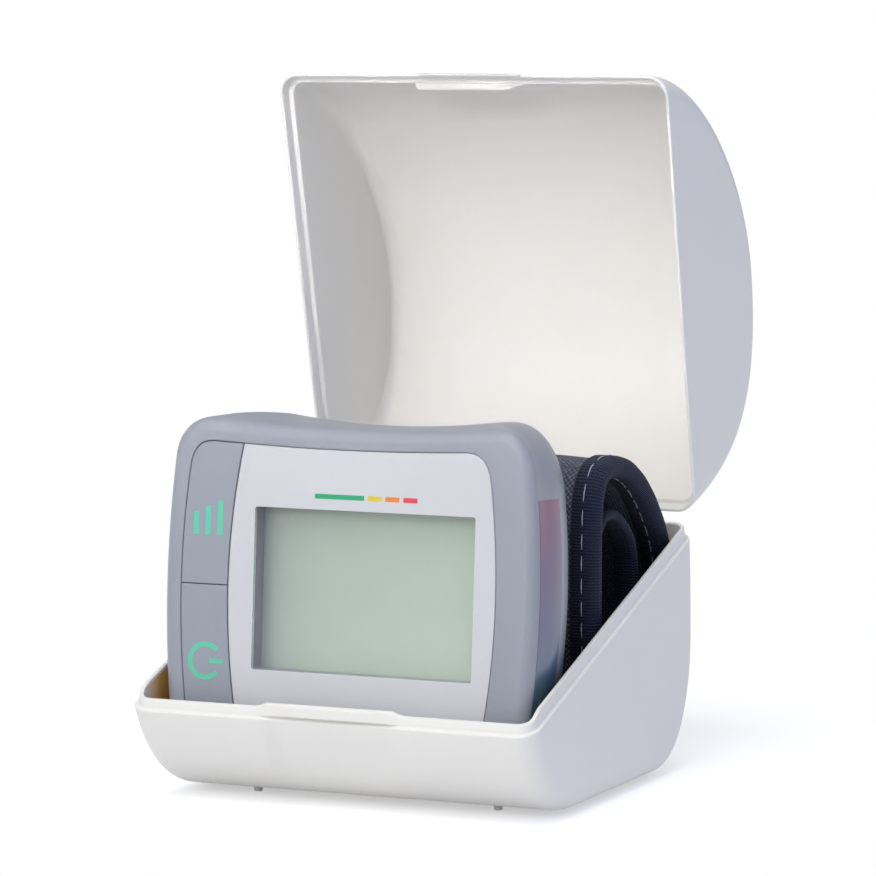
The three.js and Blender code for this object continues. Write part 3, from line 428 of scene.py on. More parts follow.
def cubic(a, b, c, d, steps):
    t = np.linspace(0, 1, steps + 1)[:, None]
    a, b, c, d = (np.array(p, float) for p in (a, b, c, d))
    return (1 - t) ** 3 * a + 3 * t * (1 - t) ** 2 * b + 3 * t ** 2 * (1 - t) * c + t ** 3 * d


def closed_chain(*parts):
    """Curves end to end as one closed outline with no doubled points."""
    points = np.vstack(parts)
    keep = np.linalg.norm(points - np.roll(points, 1, axis=0), axis=1) > 1e-4
    return points[keep]


def area(points):
    x, y = points[:, 0], points[:, 1]
    return 0.5 * float(np.sum(x * np.roll(y, -1) - y * np.roll(x, -1)))


def inset(points, distance):
    """A closed outline moved inwards by a distance, corner by corner."""
    sign = math.copysign(1, area(points))
    inward = points - np.roll(points, 1, axis=0)
    onward = np.roll(points, -1, axis=0) - points
    inward /= np.linalg.norm(inward, axis=1)[:, None]
    onward /= np.linalg.norm(onward, axis=1)[:, None]
    along = inward + onward
    along /= np.linalg.norm(along, axis=1)[:, None]
    reach = sign * distance / np.sum(along * inward, axis=1)
    return points + np.column_stack([-along[:, 1] * reach, along[:, 0] * reach])


def travelled(points):
    """The length of an open line up to each of its points."""
    return np.concatenate([[0], np.cumsum(np.linalg.norm(np.diff(points, axis=0), axis=1))])


def resample(points, count):
    """An open line as count points, evenly spaced along it."""
    at = travelled(points)
    wanted = np.linspace(0, at[-1], count)
    return np.column_stack([np.interp(wanted, at, column) for column in points.T])


def rounded(profile, radius, steps=4):
    """An open line with each inner corner rounded."""
    points = [np.array(p, float) for p in profile]
    made = [points[0]]
    for before, corner, after in zip(points, points[1:], points[2:]):
        back, on = before - corner, after - corner
        reach = min(radius, np.linalg.norm(back) * 0.45, np.linalg.norm(on) * 0.45)
        start = corner + back / np.linalg.norm(back) * reach
        end = corner + on / np.linalg.norm(on) * reach
        made.extend(quadratic(start, corner, end, steps))
    made.append(points[-1])
    return made


def round_box(x0, x1, z0, z1, radius, steps=4):
    """A rectangle with round corners."""
    corners = [(x1 - radius, z0 + radius), (x1 - radius, z1 - radius),
               (x0 + radius, z1 - radius), (x0 + radius, z0 + radius)]
    quarter = math.pi / 2
    return closed_chain(*[
        arc(corner, (radius, radius), quarter * (i - 1), quarter * i, steps)
        for i, corner in enumerate(corners)
    ])


def on_rays(outline, angles, centre=(0.0, 0.0)):
    """Where rays from the centre at these angles leave an outline that they cross once."""
    a = outline - np.array(centre)
    b = np.roll(a, -1, axis=0)
    found = []
    for angle in angles:
        ray = np.array([math.cos(angle), math.sin(angle)])
        side_a = a[:, 0] * ray[1] - a[:, 1] * ray[0]
        side_b = b[:, 0] * ray[1] - b[:, 1] * ray[0]
        share = side_a / np.where(side_a == side_b, 1, side_a - side_b)
        hits = a + (b - a) * share[:, None]
        ahead = (side_a * side_b <= 0) & (side_a != side_b) & (hits @ ray > 0)
        reach = hits[ahead] @ ray
        found.append(np.array(centre) + ray * reach.max())
    return np.array(found)


# Meshes

def identity(points):
    return points


def turned(first, second, angle):
    c, s = math.cos(angle), math.sin(angle)
    return first * c - second * s, first * s + second * c


def lean(points):
    """From the monitor's own frame, with its face at depth 0, to the case frame."""
    x, y, z = np.asarray(points, float).T
    y, z = turned(y, z, -MONITOR_LEAN)
    return np.column_stack([x, y + MONITOR_Y, z + MONITOR_Z])


def narrowed(points):
    """The case is a little narrower at its back than at its front."""
    points = np.array(points, float)
    points[:, 0] *= 1 - CASE_TAPER / (CASE_WIDTH / 2) * points[:, 1] / CASE_DEPTH
    return points


def open_lid(points):
    """From the closed lid to the lid at rest, narrowed and turned back about the hinge."""
    x, y, z = narrowed(points).T
    y, z = turned(y - HINGE_Y, z - HINGE_Z, -LID_ANGLE)
    return np.column_stack([x, y + HINGE_Y, z + HINGE_Z])


class Shape:
    """Vertices and faces gathered for one piece, each face with the number of its material."""

    def __init__(self):
        self.points = []
        self.faces = []
        self.kinds = []

    def add(self, points):
        start = len(self.points)
        self.points.extend([tuple(map(float, p)) for p in points])
        return list(range(start, start + len(points)))

    def face(self, corners, kind=0):
        if len(set(corners)) > 2:
            self.faces.append(tuple(corners))
            self.kinds.append(kind)

    def bridge(self, first, second, closed=True, kind=0):
        count = len(first)
        for i in range(count if closed else count - 1):
            j = (i + 1) % count
            self.face((first[i], first[j], second[j], second[i]), kind)

    def tube(self, rings, closed=True):
        made = [self.add(ring) for ring in rings]
        for first, second in zip(made, made[1:]):
            self.bridge(first, second, closed)
        return made

    def rod(self, rings):
        """A tube with both its ends closed."""
        made = self.tube(rings)
        self.face(made[0])
        self.face(made[-1])

    def end(self, ring, inner):
        """A flat end behind a narrow border, which keeps its shading flat."""
        border = self.add(inner)
        self.bridge(ring, border)
        self.face(border)


def block(x0, x1, y0, y1, z0, z1):
    """A plain box, as a tool that cuts other shapes."""
    shape = Shape()
    corners = shape.add([(x, y, z) for x in (x0, x1) for y in (y0, y1) for z in (z0, z1)])
    for face in ((0, 1, 3, 2), (4, 6, 7, 5), (0, 4, 5, 1), (2, 3, 7, 6), (0, 2, 6, 4),
                 (1, 5, 7, 3)):
        shape.face([corners[i] for i in face])
    return shape


def raw_mesh(name, shape, to_case):
    mesh = bpy.data.meshes.new(name)
    mesh.from_pydata([tuple(p) for p in row(to_case(np.array(shape.points)))], [], shape.faces)
    return mesh


def mend(mesh, merge=True):
    """Merges doubled points, where asked, and turns all the faces outwards."""
    work = bmesh.new()
    work.from_mesh(mesh)
    if merge:
        bmesh.ops.remove_doubles(work, verts=work.verts, dist=0.000002)
    bmesh.ops.recalc_face_normals(work, faces=work.faces)
    work.to_mesh(mesh)
    work.free()


def cut_mesh(mesh, tool, operation):
    """The mesh after a tool is cut from it, or after only the part inside the tool is kept."""
    pieces = []
    for data in (mesh, tool):
        mend(data)
        pieces.append(add_object(data.name, data))
    modifier = pieces[0].modifiers.new("cut", "BOOLEAN")
    modifier.operation = operation
    modifier.solver = "EXACT"
    modifier.object = pieces[1]
    depsgraph = bpy.context.evaluated_depsgraph_get()
    cut = bpy.data.meshes.new_from_object(pieces[0].evaluated_get(depsgraph))
    for piece in pieces:
        bpy.data.objects.remove(piece)
    return cut


def make(name, shape, materials, body, slot, replaced=(), to_case=identity, smooth=40.0, uv=None,
         cuts=()):
    """A piece from a shape: its points go to the row's frame, and it rides on a body."""
    mesh = raw_mesh(name, shape, to_case)
    for material in materials:
        mesh.materials.append(material)
    mesh.polygons.foreach_set("material_index", shape.kinds)
    for operation, cutter in cuts:
        mesh = cut_mesh(mesh, raw_mesh(name + "_tool", cutter, to_case), operation)
    if uv is not None:
        layer = mesh.uv_layers.new(name="cloth")
        corners = np.empty(len(mesh.loops), np.int32)
        mesh.loops.foreach_get("vertex_index", corners)
        layer.data.foreach_set("uv", np.asarray(uv, np.float32)[corners].ravel())
    mend(mesh, merge=uv is None)
    piece = add_object(name, mesh)
    if smooth:
        mesh.polygons.foreach_set("use_smooth", [True] * len(mesh.polygons))
        mesh.set_sharp_from_angle(angle=math.radians(smooth))
    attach(piece, body)
    if replaced:
        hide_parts(*replaced)
    return piece


def make_on_monitor(name, shape, material, slot, replaced=(), body="monitor", **options):
    """A piece that is drawn in the monitor's own frame."""
    return make(name, shape, [material], body, slot, replaced, lean, **options)


def softened(start, end, bevel):
    """Places along a bar with softened ends, and how far its outline lies inside at each."""
    step = math.copysign(bevel, end - start)
    return [(start, bevel), (start + step * 0.3, bevel * 0.3), (start + step, 0),
            (end - step, 0), (end - step * 0.3, bevel * 0.3), (end, bevel)]


def disc_rod(shape, axis, centre, radius, start, end, bevel=0.2, sides=32):
    """A round bar along an axis with softened ends."""
    turns = np.linspace(0, math.tau, sides, endpoint=False)
    rings = []
    for at, smaller in softened(start, end, bevel):
        r = radius - smaller
        columns = [centre[0] + r * np.cos(turns), centre[1] + r * np.sin(turns)]
        columns.insert("xyz".index(axis), np.full(sides, at))
        rings.append(np.column_stack(columns))
    shape.rod(rings)


# Case shells

RIM_RISE = BACK_RIM - FRONT_RIM
RIM_LENGTH = math.hypot(CASE_DEPTH, RIM_RISE)
RIM_ALONG = np.array([CASE_DEPTH, RIM_RISE]) / RIM_LENGTH
RIM_OUT = np.array([-RIM_ALONG[1], RIM_ALONG[0]])
BACK_RIM_POINT = np.array([CASE_DEPTH, BACK_RIM])
CURVE_STEPS = 40
FILLET_STEPS = 10
WIDTH_STEPS = 62
WALL_POINTS = 120
SIDE_POINTS = 40
END_BORDER = 0.5


def from_rim(forward, out):
    return BACK_RIM_POINT - RIM_ALONG * forward + RIM_OUT * out


def dome_point(forward_share, height_share):
    return from_rim(RIM_LENGTH * forward_share, DOME_HEIGHT * height_share)


def case_outline():
    """Side outline of the closed case in depth and height."""
    back = CASE_DEPTH + BACK_BULGE
    front_rim = (0.0, FRONT_RIM)
    crest = dome_point(DOME_CREST, 1)
    front_share = 1 - DOME_CREST
    return closed_chain(
        cubic(front_rim, (FRONT_SCOOP * 0.1, FRONT_RIM * 0.62), (FRONT_SCOOP * 0.4, 0.0),
              (FRONT_SCOOP, 0.0), CURVE_STEPS),
        arc((back - BACK_ROUND_DEPTH, BACK_ROUND_HEIGHT), (BACK_ROUND_DEPTH, BACK_ROUND_HEIGHT),
            -math.pi / 2, 0, CURVE_STEPS),
        quadratic((back, BACK_ROUND_HEIGHT), (back, (BACK_ROUND_HEIGHT + BACK_RIM) / 2),
                  BACK_RIM_POINT, CURVE_STEPS // 2),
        cubic(BACK_RIM_POINT, dome_point(DOME_REAR[0], DOME_REAR[1]),
              dome_point(DOME_CREST * DOME_REAR[2], DOME_REAR[3]), crest, CURVE_STEPS),
        cubic(crest, dome_point(DOME_CREST + front_share * DOME_FRONT[0], DOME_FRONT[1]),
              dome_point(DOME_CREST + front_share * DOME_FRONT[2], DOME_FRONT[3]),
              front_rim, CURVE_STEPS),
    )


CASE_OUTLINE = case_outline()


def cut_line(distance, height, below):
    """The outline inside a distance, on one side of a level over the rims, front to back."""
    points = inset(CASE_OUTLINE, distance)
    level = (points - BACK_RIM_POINT) @ RIM_OUT - height
    count = len(points)
    inside = level < 0 if below else level > 0

    def crossing(i, j):
        share = level[i] / (level[i] - level[j])
        return points[i] + (points[j] - points[i]) * share

    entry = next(i for i in range(count) if not inside[i] and inside[(i + 1) % count])
    i = (entry + 1) % count
    line = [crossing(entry, i)]
    while inside[i]:
        line.append(points[i])
        i = (i + 1) % count
    line.append(crossing((i - 1) % count, i))
    line = np.array(line)
    return line if line[0][0] < line[-1][0] else line[::-1]


def case_sections(distance):
    """Places across the case and how far the outline lies inside there, left to right."""
    fillet = CASE_FILLET - distance
    flat = CASE_WIDTH / 2 - CASE_FILLET
    edge = [(flat + fillet * math.sin(t), distance + fillet * (1 - math.cos(t)))
            for t in quarter_turns(FILLET_STEPS)]
    middle = [(x, distance) for x in np.linspace(-flat, flat, WIDTH_STEPS)[1:-1]]
    return [(-x, d) for x, d in reversed(edge)] + middle + edge


def between(start, end):
    return np.linspace(start, end, SIDE_POINTS + 2)[1:-1]


def case_bowl(shape, distance, height, below, bend=identity):
    """The rounded body inside a distance, cut at a level: rows front to back, and flat sides."""
    rings = []
    for x, d in case_sections(distance):
        line = resample(cut_line(d, height, below), WALL_POINTS)
        rings.append(bend(np.column_stack([np.full(len(line), x), line])))
    made = shape.tube(rings, closed=False)
    for i in (0, -1):
        x = rings[i][0][0]
        top = between(rings[i][-1], rings[i][0])
        border = made[i] + shape.add(top)
        inner = inset(np.vstack([rings[i], top])[:, 1:], END_BORDER)
        shape.end(border, np.column_stack([np.full(len(inner), x), inner]))


def rim_walls(shape, profile, bend_at):
    """Walls round the rims through pairs of distance and height, from outside to inside."""
    rings = []
    for distance, height in profile:
        front, back = [], []
        for x, d in case_sections(distance):
            line = cut_line(d, height, True)
            front.append([x, *line[0]])
            back.append([x, *line[-1]])
        loop = np.vstack([front, between(front[-1], back[-1]), back[::-1],
                          between(back[0], front[0])])
        rings.append(bend_at(distance, height)(loop))
    shape.tube(rings)


TOUCH = 0.01
THUMB_HALF = 13.9
THUMB_FLANK = 3.0
THUMB_DEPTH = 1.5
THUMB_FOOT = (16.0, 8.0)
THUMB_HEAD = (6.0, 1.5)
THUMB_HEAD_EASE = 0.35
LIP_FOOT = 0.5
LATCH_HALF = 15.2
LATCH_RISE = 0.9
CATCH_HALF = 8.7
CATCH_DEPTH = 0.6
CATCH_TOP = 2.4
CATCH_HEIGHTS = (0.45, 0.55, 1.1, 1.7, 2.35, 2.45)
CATCH_ROOM = 0.55
FRONT_LIP_DROP = 1.15


def across_share(points, half, soft):
    """1 within a half width of the middle and 0 outside it, with a soft change."""
    return 1 - smoothstep(half - soft, half + soft, np.abs(points[:, 0]))


def front_only(points, amounts):
    """These amounts for the points in the front wall, and 0 for the others."""
    return np.where(points[:, 1] < CASE_DEPTH / 3, amounts, 0)


def thumb_scoop(points):
    """Presses the shallow thumb recess into the front wall below the rim."""
    points = points.copy()
    z = points[:, 2]
    drop = smoothstep(*(FRONT_RIM - low for low in THUMB_FOOT), z)
    drop -= THUMB_HEAD_EASE * smoothstep(*(FRONT_RIM - low for low in THUMB_HEAD), z)
    drop *= z < FRONT_RIM + LIP_HEIGHT + 2
    side = across_share(points, THUMB_HALF, THUMB_FLANK / 2)
    points[:, 1] += front_only(points, THUMB_DEPTH * side * drop)
    return points


def latch_bend(distance, height):
    """Raises the lip over the latch and pushes the catch ledge out of its face."""
    def bend(points):
        points = thumb_scoop(points) if distance < LIP_INSET - TOUCH else points.copy()
        if height > LIP_FOOT:
            rise = LATCH_RISE * across_share(points, LATCH_HALF, 0.5)
            rise -= FRONT_LIP_DROP * (1 - smoothstep(2.0, 6.0, points[:, 1]))
            rise = front_only(points, rise) * (height - LIP_FOOT) / (LIP_HEIGHT - LIP_FOOT)
            points[:, 1:] += RIM_OUT * rise[:, None]
        if LIP_FOOT < height < CATCH_TOP and distance < LIP_INSET + TOUCH:
            push = CATCH_DEPTH * across_share(points, CATCH_HALF, 0.3)
            points[:, 1] -= front_only(points, push)
        return points
    return bend


def catch_recess(distance, height):
    """Thins the front wall of the lid where it closes over the catch."""
    inner = LIP_INSET - LIP_PLAY
    deep = np.clip((distance - 0.3) / (inner - 0.3), 0, 1) if distance < inner + TOUCH else 0

    def bend(points):
        points = points.copy()
        share = across_share(points, CATCH_HALF + 0.6, 0.3) * deep
        points[:, 1] -= front_only(points, CATCH_ROOM * share)
        return points
    return bend


FOOT_RADIUS = 0.9
FOOT_X = 27.35
FOOT_Y = 24.1
HINGE_HALF = 22.0
EAR_WIDTH = 3.5
EAR_RADIUS = 2.9
EAR_DROP = 9.0
BARREL_RADIUS = 2.4
PIN_RADIUS = 1.2
ARM_THICKNESS = 2.0
BASE_CUT = -1.0
LID_CUT = 1.5


def round_arm(shape, radius, root, width, x0, x1, bevel=0.3):
    """A straight arm with a round end about the hinge axis, with softened side edges."""
    eye = np.array([HINGE_Y, HINGE_Z])
    reach = np.array(root) - eye
    heading = math.atan2(reach[1], reach[0])
    across = np.array([-math.sin(heading), math.cos(heading)]) * width / 2
    outline = np.vstack([
        arc(eye, (radius, radius), heading + math.pi / 2, heading + math.pi * 1.5, 24),
        np.array(root) - across,
        np.array(root) + across,
    ])
    rings = []
    for x, d in softened(x0, x1, bevel):
        rings.append(np.column_stack([np.full(len(outline), x), inset(outline, d)]))
    shape.rod(rings)


def build_case_base():
    shape = Shape()
    case_bowl(shape, 0.0, BASE_CUT, True, thumb_scoop)
    profile = rounded(
        [(0, BASE_CUT), (0, 0), (LIP_INSET, 0), (LIP_INSET, LIP_HEIGHT), (CASE_WALL, LIP_HEIGHT),
         (CASE_WALL, BASE_CUT)],
        EDGE_ROUND,
    )
    face = next(i for i, (distance, height) in enumerate(profile)
                if distance >= LIP_INSET - 1e-6 and height > EDGE_ROUND * 0.9) + 1
    profile[face:face] = [(LIP_INSET, height) for height in CATCH_HEIGHTS]
    rim_walls(shape, profile, latch_bend)
    case_bowl(shape, CASE_WALL, BASE_CUT, True)
    for x in (-FOOT_X, FOOT_X):
        for y in (FOOT_Y, CASE_DEPTH - FOOT_Y):
            disc_rod(shape, "z", (x, y), FOOT_RADIUS, 0.2, -FOOT_HEIGHT, 0.25)
    root = (CASE_DEPTH - CASE_WALL / 2, HINGE_Z - EAR_DROP)
    for x in (-HINGE_HALF, HINGE_HALF - EAR_WIDTH):
        round_arm(shape, EAR_RADIUS, root, EAR_RADIUS * 2, x, x + EAR_WIDTH)
    make("case_tub", shape, [CASE], "case", "case_plastic", ["case_base"], narrowed)


def front_bar(shape, sections, profile, place):
    """A bar on the front wall of the lid, shrunk at each place across by its own share."""
    rings = []
    for x, shrink in sections:
        rings.append([(x, *cut_line(*place(distance, height, shrink), True)[0])
                      for distance, height in profile])
    shape.rod(rings)


TAB_HALF = 12.0
TAB_THICKNESS = 0.16
TAB_PLAY = 0.02
TAB_REACH = 1.1
TAB_HEIGHT = 1.2
TAB_MIDDLE = (TAB_HEIGHT - TAB_REACH) / 2
TAB_ENDS = [(TAB_HALF - 0.35, 0), (TAB_HALF - 0.1, 0.08), (TAB_HALF, 0.25)]
TONGUE_LOW = 3.4
TONGUE_HIGH = 6.6
TONGUE_THICKNESS = 1.4
TONGUE_SECTIONS = [(-14.0, 0.5), (-13.7, 0.1), (-13.2, 0), (6.5, 0), (8.0, 0.2), (10.0, 0.6),
                   (12.0, 0.95)]


def lid_tab(shape):
    """The snap tab over the catch: a low rounded bar on the front wall of the lid."""
    profile = rounded(
        [(0.6, TAB_HEIGHT), (-TAB_THICKNESS, TAB_HEIGHT - 0.5), (-TAB_THICKNESS, -TAB_REACH),
         (-TAB_PLAY, -TAB_REACH), (-TAB_PLAY, 0.15), (0.6, 0.4)],
        0.06,
    )
    sections = [(-x, shrink) for x, shrink in reversed(TAB_ENDS)] + TAB_ENDS

    def place(distance, height, shrink):
        return distance * (1 - shrink), TAB_MIDDLE + (height - TAB_MIDDLE) * (1 - shrink / 3)

    front_bar(shape, sections, profile, place)


def lid_tongue(shape):
    """A low rib behind the tab, inside the front wall of the lid."""
    near, far = CASE_WALL - 0.3, CASE_WALL + TONGUE_THICKNESS
    profile = rounded(
        [(near, TONGUE_LOW), (far, TONGUE_LOW), (far, TONGUE_HIGH), (near, TONGUE_HIGH + 0.8)],
        0.4,
    )

    def place(distance, height, shrink):
        return near + max(0.0, distance - near) * (1 - shrink), height

    front_bar(shape, TONGUE_SECTIONS, profile, place)


def build_case_lid():
    shape = Shape()
    case_bowl(shape, 0.0, LID_CUT, False)
    ledge = LIP_HEIGHT + RIM_GAP
    inner = LIP_INSET - LIP_PLAY
    profile = rounded(
        [(0, LID_CUT), (0, RIM_GAP), (inner, RIM_GAP), (inner, ledge), (CASE_WALL, ledge),
         (CASE_WALL, ledge + LID_CUT)],
        EDGE_ROUND,
    )
    rim_walls(shape, profile, catch_recess)
    case_bowl(shape, CASE_WALL, ledge + LID_CUT, False)
    barrel = HINGE_HALF - EAR_WIDTH - RIM_GAP
    root = from_rim(CASE_WALL / 2, LIP_HEIGHT + ARM_THICKNESS)
    round_arm(shape, BARREL_RADIUS, root, ARM_THICKNESS, -barrel, barrel)
    pin = HINGE_HALF - RIM_GAP
    disc_rod(shape, "x", (HINGE_Y, HINGE_Z), PIN_RADIUS, -pin, pin)
    lid_tab(shape)
    lid_tongue(shape)
    make("case_dome", shape, [CASE], "lid", "case_plastic", ["case_lid"], open_lid)


build_case_base()
build_case_lid()


# Monitor housings

OUTLINE_STEPS = 26
FACE_STEPS = 18
SEAM = 0.12
SEAM_GAP = 0.1
BACK_BORDER = 0.6
RECESS_DEPTH = 3.2
RECESS_SPREAD = 1.02


def monitor_outline(corner, half_height, hollow):
    """Bulging sides and hollow ends, with corners that ease into both."""
    bend = CORNER_ARC * corner
    side_x = HALF_WIDTH - SIDE_BULGE
    side_z = half_height - corner
    end_x = side_x - corner
    side_turn = np.array([-SIDE_BULGE * 2, side_z])
    side_turn *= bend / np.linalg.norm(side_turn)
    end_turn = np.array([end_x, hollow * 2])
    end_turn *= bend / np.linalg.norm(end_turn)
    side, side_ease = np.array([side_x, side_z]), np.array([side_x, side_z]) + side_turn
    end, end_ease = np.array([end_x, half_height]), np.array([end_x, half_height]) + end_turn
    mirror = np.array([-1, 1])
    half = [
        quadratic(-side * mirror, (side_x + SIDE_BULGE * 2, 0), side, OUTLINE_STEPS * 2),
        cubic(side, side_ease, end_ease, end, OUTLINE_STEPS),
        quadratic(end, (0, half_height - hollow * 2), end * mirror, OUTLINE_STEPS * 2),
        cubic(end * mirror, end_ease * mirror, side_ease * mirror, side * mirror, OUTLINE_STEPS),
    ]
    return closed_chain(*half, *(-part for part in half))


FACE_OUTLINE = monitor_outline(CORNER, HALF_HEIGHT, END_HOLLOW)
REAR_OUTLINE = monitor_outline(REAR_CORNER, REAR_HALF_HEIGHT, REAR_END_HOLLOW)
# The lower end stays within the face's, clear of the tub
REAR_OUTLINE[:, 1] *= np.where(REAR_OUTLINE[:, 1] < 0, (HALF_HEIGHT - 0.5) / REAR_HALF_HEIGHT, 1)


def housing_outline(depth):
    """The face's outline at the front, with rounder corners and fuller ends further back."""
    return FACE_OUTLINE + (REAR_OUTLINE - FACE_OUTLINE) * smoothstep(*REAR_FORM_DEPTHS, depth)


def round_off(radius, left):
    """How far a rounded edge lies inside, with this much of its radius still to go."""
    return radius - math.sqrt(radius ** 2 - max(0, left) ** 2)


def housing_inset(depth):
    middle = DEPTH / 2
    crown = SIDE_CROWN * ((depth - middle) / middle) ** 2
    rear_left = min(REAR_ROUND, depth - (DEPTH - REAR_ROUND))
    return crown + round_off(FACE_ROUND, FACE_ROUND - depth) + round_off(REAR_ROUND, rear_left)


def at_depth(flat, depth):
    return np.column_stack([flat[:, 0], np.full(len(flat), depth), flat[:, 1]])


def side_share(depth):
    """How much narrower the housing is at a depth, as its sides round off to the back."""
    along = max(0.0, depth - REAR_SIDE_START) / (DEPTH - REAR_SIDE_START)
    return 1 - REAR_SIDE_INSET * (1 - math.sqrt(1 - along ** 2)) / HALF_WIDTH


def monitor_ring(depth, distance=0.0):
    ring = at_depth(inset(housing_outline(depth), distance + housing_inset(depth)), depth)
    ring[:, 0] *= side_share(depth)
    return ring


FIELD_HALF = HALF_HEIGHT - SIDE_CROWN - FACE_INSET
LENS_LEFT = -STRIP_EDGE + STRIP_EDGE_BOW
LENS_SIDE = LENS_RIGHT - LENS_RIGHT_BOW
LENS_END = LENS_SIDE - LENS_CORNER
STRIP_LEFT = -STRIP_OUTER + STRIP_OUTER_BOW
STRIP_END = STRIP_LEFT + STRIP_CORNER


def field_sides():
    """The face's recess in five parts: right side, top, left side, foot, and strip's edge."""
    high = FIELD_HALF - LENS_CORNER
    bow = LENS_SIDE - LENS_RIGHT_BOW / 2
    far = (LENS_RIGHT + LENS_RIGHT_BOW, 0)
    right = [
        quadratic((LENS_END, -FIELD_HALF), (bow, -FIELD_HALF), (LENS_SIDE, -high), FACE_STEPS),
        quadratic((LENS_SIDE, -high), far, (LENS_SIDE, high), FACE_STEPS * 2),
        quadratic((LENS_SIDE, high), (bow, FIELD_HALF), (LENS_END, FIELD_HALF), FACE_STEPS),
    ]
    hollow = FIELD_HALF - END_HOLLOW
    top = quadratic((LENS_END, FIELD_HALF), (0, hollow), (LENS_LEFT, FIELD_HALF), FACE_STEPS * 2)
    foot = quadratic((LENS_LEFT, -FIELD_HALF), (0, -hollow), (LENS_END, -FIELD_HALF),
                     FACE_STEPS * 2)
    high = FIELD_HALF - STRIP_CORNER
    bow = STRIP_LEFT + STRIP_OUTER_BOW / 2
    far = (-STRIP_OUTER - STRIP_OUTER_BOW, 0)
    upper = (STRIP_END, FIELD_HALF + END_HOLLOW / 4)
    left = [
        quadratic(upper, (bow, FIELD_HALF), (STRIP_LEFT, high), FACE_STEPS),
        quadratic((STRIP_LEFT, high), far, (STRIP_LEFT, -high), FACE_STEPS * 2),
        quadratic((STRIP_LEFT, -high), (bow, -FIELD_HALF), (STRIP_END, -FIELD_HALF), FACE_STEPS),
    ]
    edge = quadratic((LENS_LEFT, FIELD_HALF), (-STRIP_EDGE - STRIP_EDGE_BOW, 0),
                     (LENS_LEFT, -FIELD_HALF), FACE_STEPS * 2)
    return right, top, left, foot, edge


RIGHT_SIDE, TOP_SIDE, LEFT_SIDE, FOOT_SIDE, STRIP_SIDE = field_sides()
LENS_OUTLINE = closed_chain(*RIGHT_SIDE, TOP_SIDE, STRIP_SIDE, FOOT_SIDE)
STRIP_OUTLINE = closed_chain(STRIP_SIDE[::-1], *LEFT_SIDE)
FIELD_OUTLINE = closed_chain(*RIGHT_SIDE, TOP_SIDE, *LEFT_SIDE, FOOT_SIDE)

DOOR_HALF = 26.5
DOOR_FRONT = 5.0
DOOR_HIGH = -HALF_HEIGHT + 7.0
DOOR_GAP = 0.25
REAR_DEPTHS = [DEPTH - REAR_ROUND]
REAR_DEPTHS += [DEPTH - REAR_ROUND * (1 - math.sin(t)) for t in quarter_turns(11)[1:]]
FRONT_DEPTHS = [SPLIT - SEAM, 22.0, 20.0, 18.5, 17.0, 15.5, 14.0, 12.0, 10.0, 8.0, 5.0, 3.0]
FRONT_DEPTHS += [FACE_ROUND * (1 - math.sin(t)) for t in quarter_turns(8)]
RECESS_EDGE = [(-0.3, 0.0), (-0.12, 0.04), (-0.02, 0.16), (0.0, 0.3), (0.0, 2.4)]


def door_zone(margin):
    return block(-DOOR_HALF - margin, DOOR_HALF + margin, DOOR_FRONT - margin, DEPTH + 10.0,
                 -HALF_HEIGHT - 10.0, DOOR_HIGH + margin)


def build_front_housing():
    shape = Shape()
    rings = [monitor_ring(SPLIT, SEAM)] + [monitor_ring(max(depth, 0)) for depth in FRONT_DEPTHS]
    face = inset(FACE_OUTLINE, housing_inset(0))
    angles = np.unwrap(np.arctan2(face[:, 1], face[:, 0]))
    for distance, depth in RECESS_EDGE:
        rings.append(at_depth(on_rays(inset(FIELD_OUTLINE, distance), angles), depth))
    rings.append(at_depth(on_rays(FIELD_OUTLINE, angles) * RECESS_SPREAD, RECESS_DEPTH))
    rings += [monitor_ring(depth, WALL) for depth in (5.0, 14.0, SPLIT)]
    shape.tube(rings + [rings[0]])
    make_on_monitor("face_housing", shape, HOUSING, "housing_plastic", ["front_housing"],
                    cuts=[("DIFFERENCE", door_zone(DOOR_GAP))])


def build_rear_housing():
    shape = Shape()
    start = SPLIT + SEAM_GAP
    rings = [monitor_ring(start, WALL), monitor_ring(start, SEAM), monitor_ring(start + SEAM)]
    made = shape.tube(rings + [monitor_ring(depth) for depth in REAR_DEPTHS])
    shape.end(made[-1], monitor_ring(DEPTH, BACK_BORDER))
    shape.face(made[0])
    make_on_monitor("back_housing", shape, HOUSING, "housing_plastic", ["rear_housing"],
                    cuts=[("DIFFERENCE", door_zone(DOOR_GAP))])


def build_battery_door():
    """The door at the lower end: the part of the housing's skin inside the door's zone."""
    shape = Shape()
    depths = [3.0, 5.0, 8.0, 12.0, 16.0, 20.0]
    made = shape.tube([monitor_ring(depth) for depth in depths + REAR_DEPTHS])
    shape.end(made[-1], monitor_ring(DEPTH, BACK_BORDER))
    inside = shape.tube([monitor_ring(DEPTH - WALL, REAR_ROUND)]
                        + [monitor_ring(depth, WALL) for depth in reversed(depths)])
    shape.face(inside[0])
    shape.bridge(inside[-1], made[0])
    make_on_monitor("battery_lid", shape, HOUSING, "housing_plastic", ["battery_door"],
                    body="battery_cover", cuts=[("INTERSECT", door_zone(0.0))])


def plate(shape, outline, front, back, radius):
    """A flat plate with a softened front edge, its outline in the plane of the face."""
    rings = []
    for t in quarter_turns(4):
        rings.append(at_depth(inset(outline, radius * (1 - math.sin(t))),
                              front + radius * (1 - math.cos(t))))
    made = shape.tube(rings + [at_depth(outline, back)])
    shape.end(made[0], at_depth(inset(outline, radius + 0.35), front))
    shape.face(made[-1])


def clip_half(outline, level, side):
    """The part of an outline beyond a level, on one side of it."""
    points = []
    for a, b in zip(outline, np.roll(outline, -1, axis=0)):
        in_a, in_b = side * a[1] > level, side * b[1] > level
        if in_a:
            points.append(a)
        if in_a != in_b:
            points.append(a + (b - a) * (side * level - a[1]) / (b[1] - a[1]))
    return closed_chain(np.array(points))


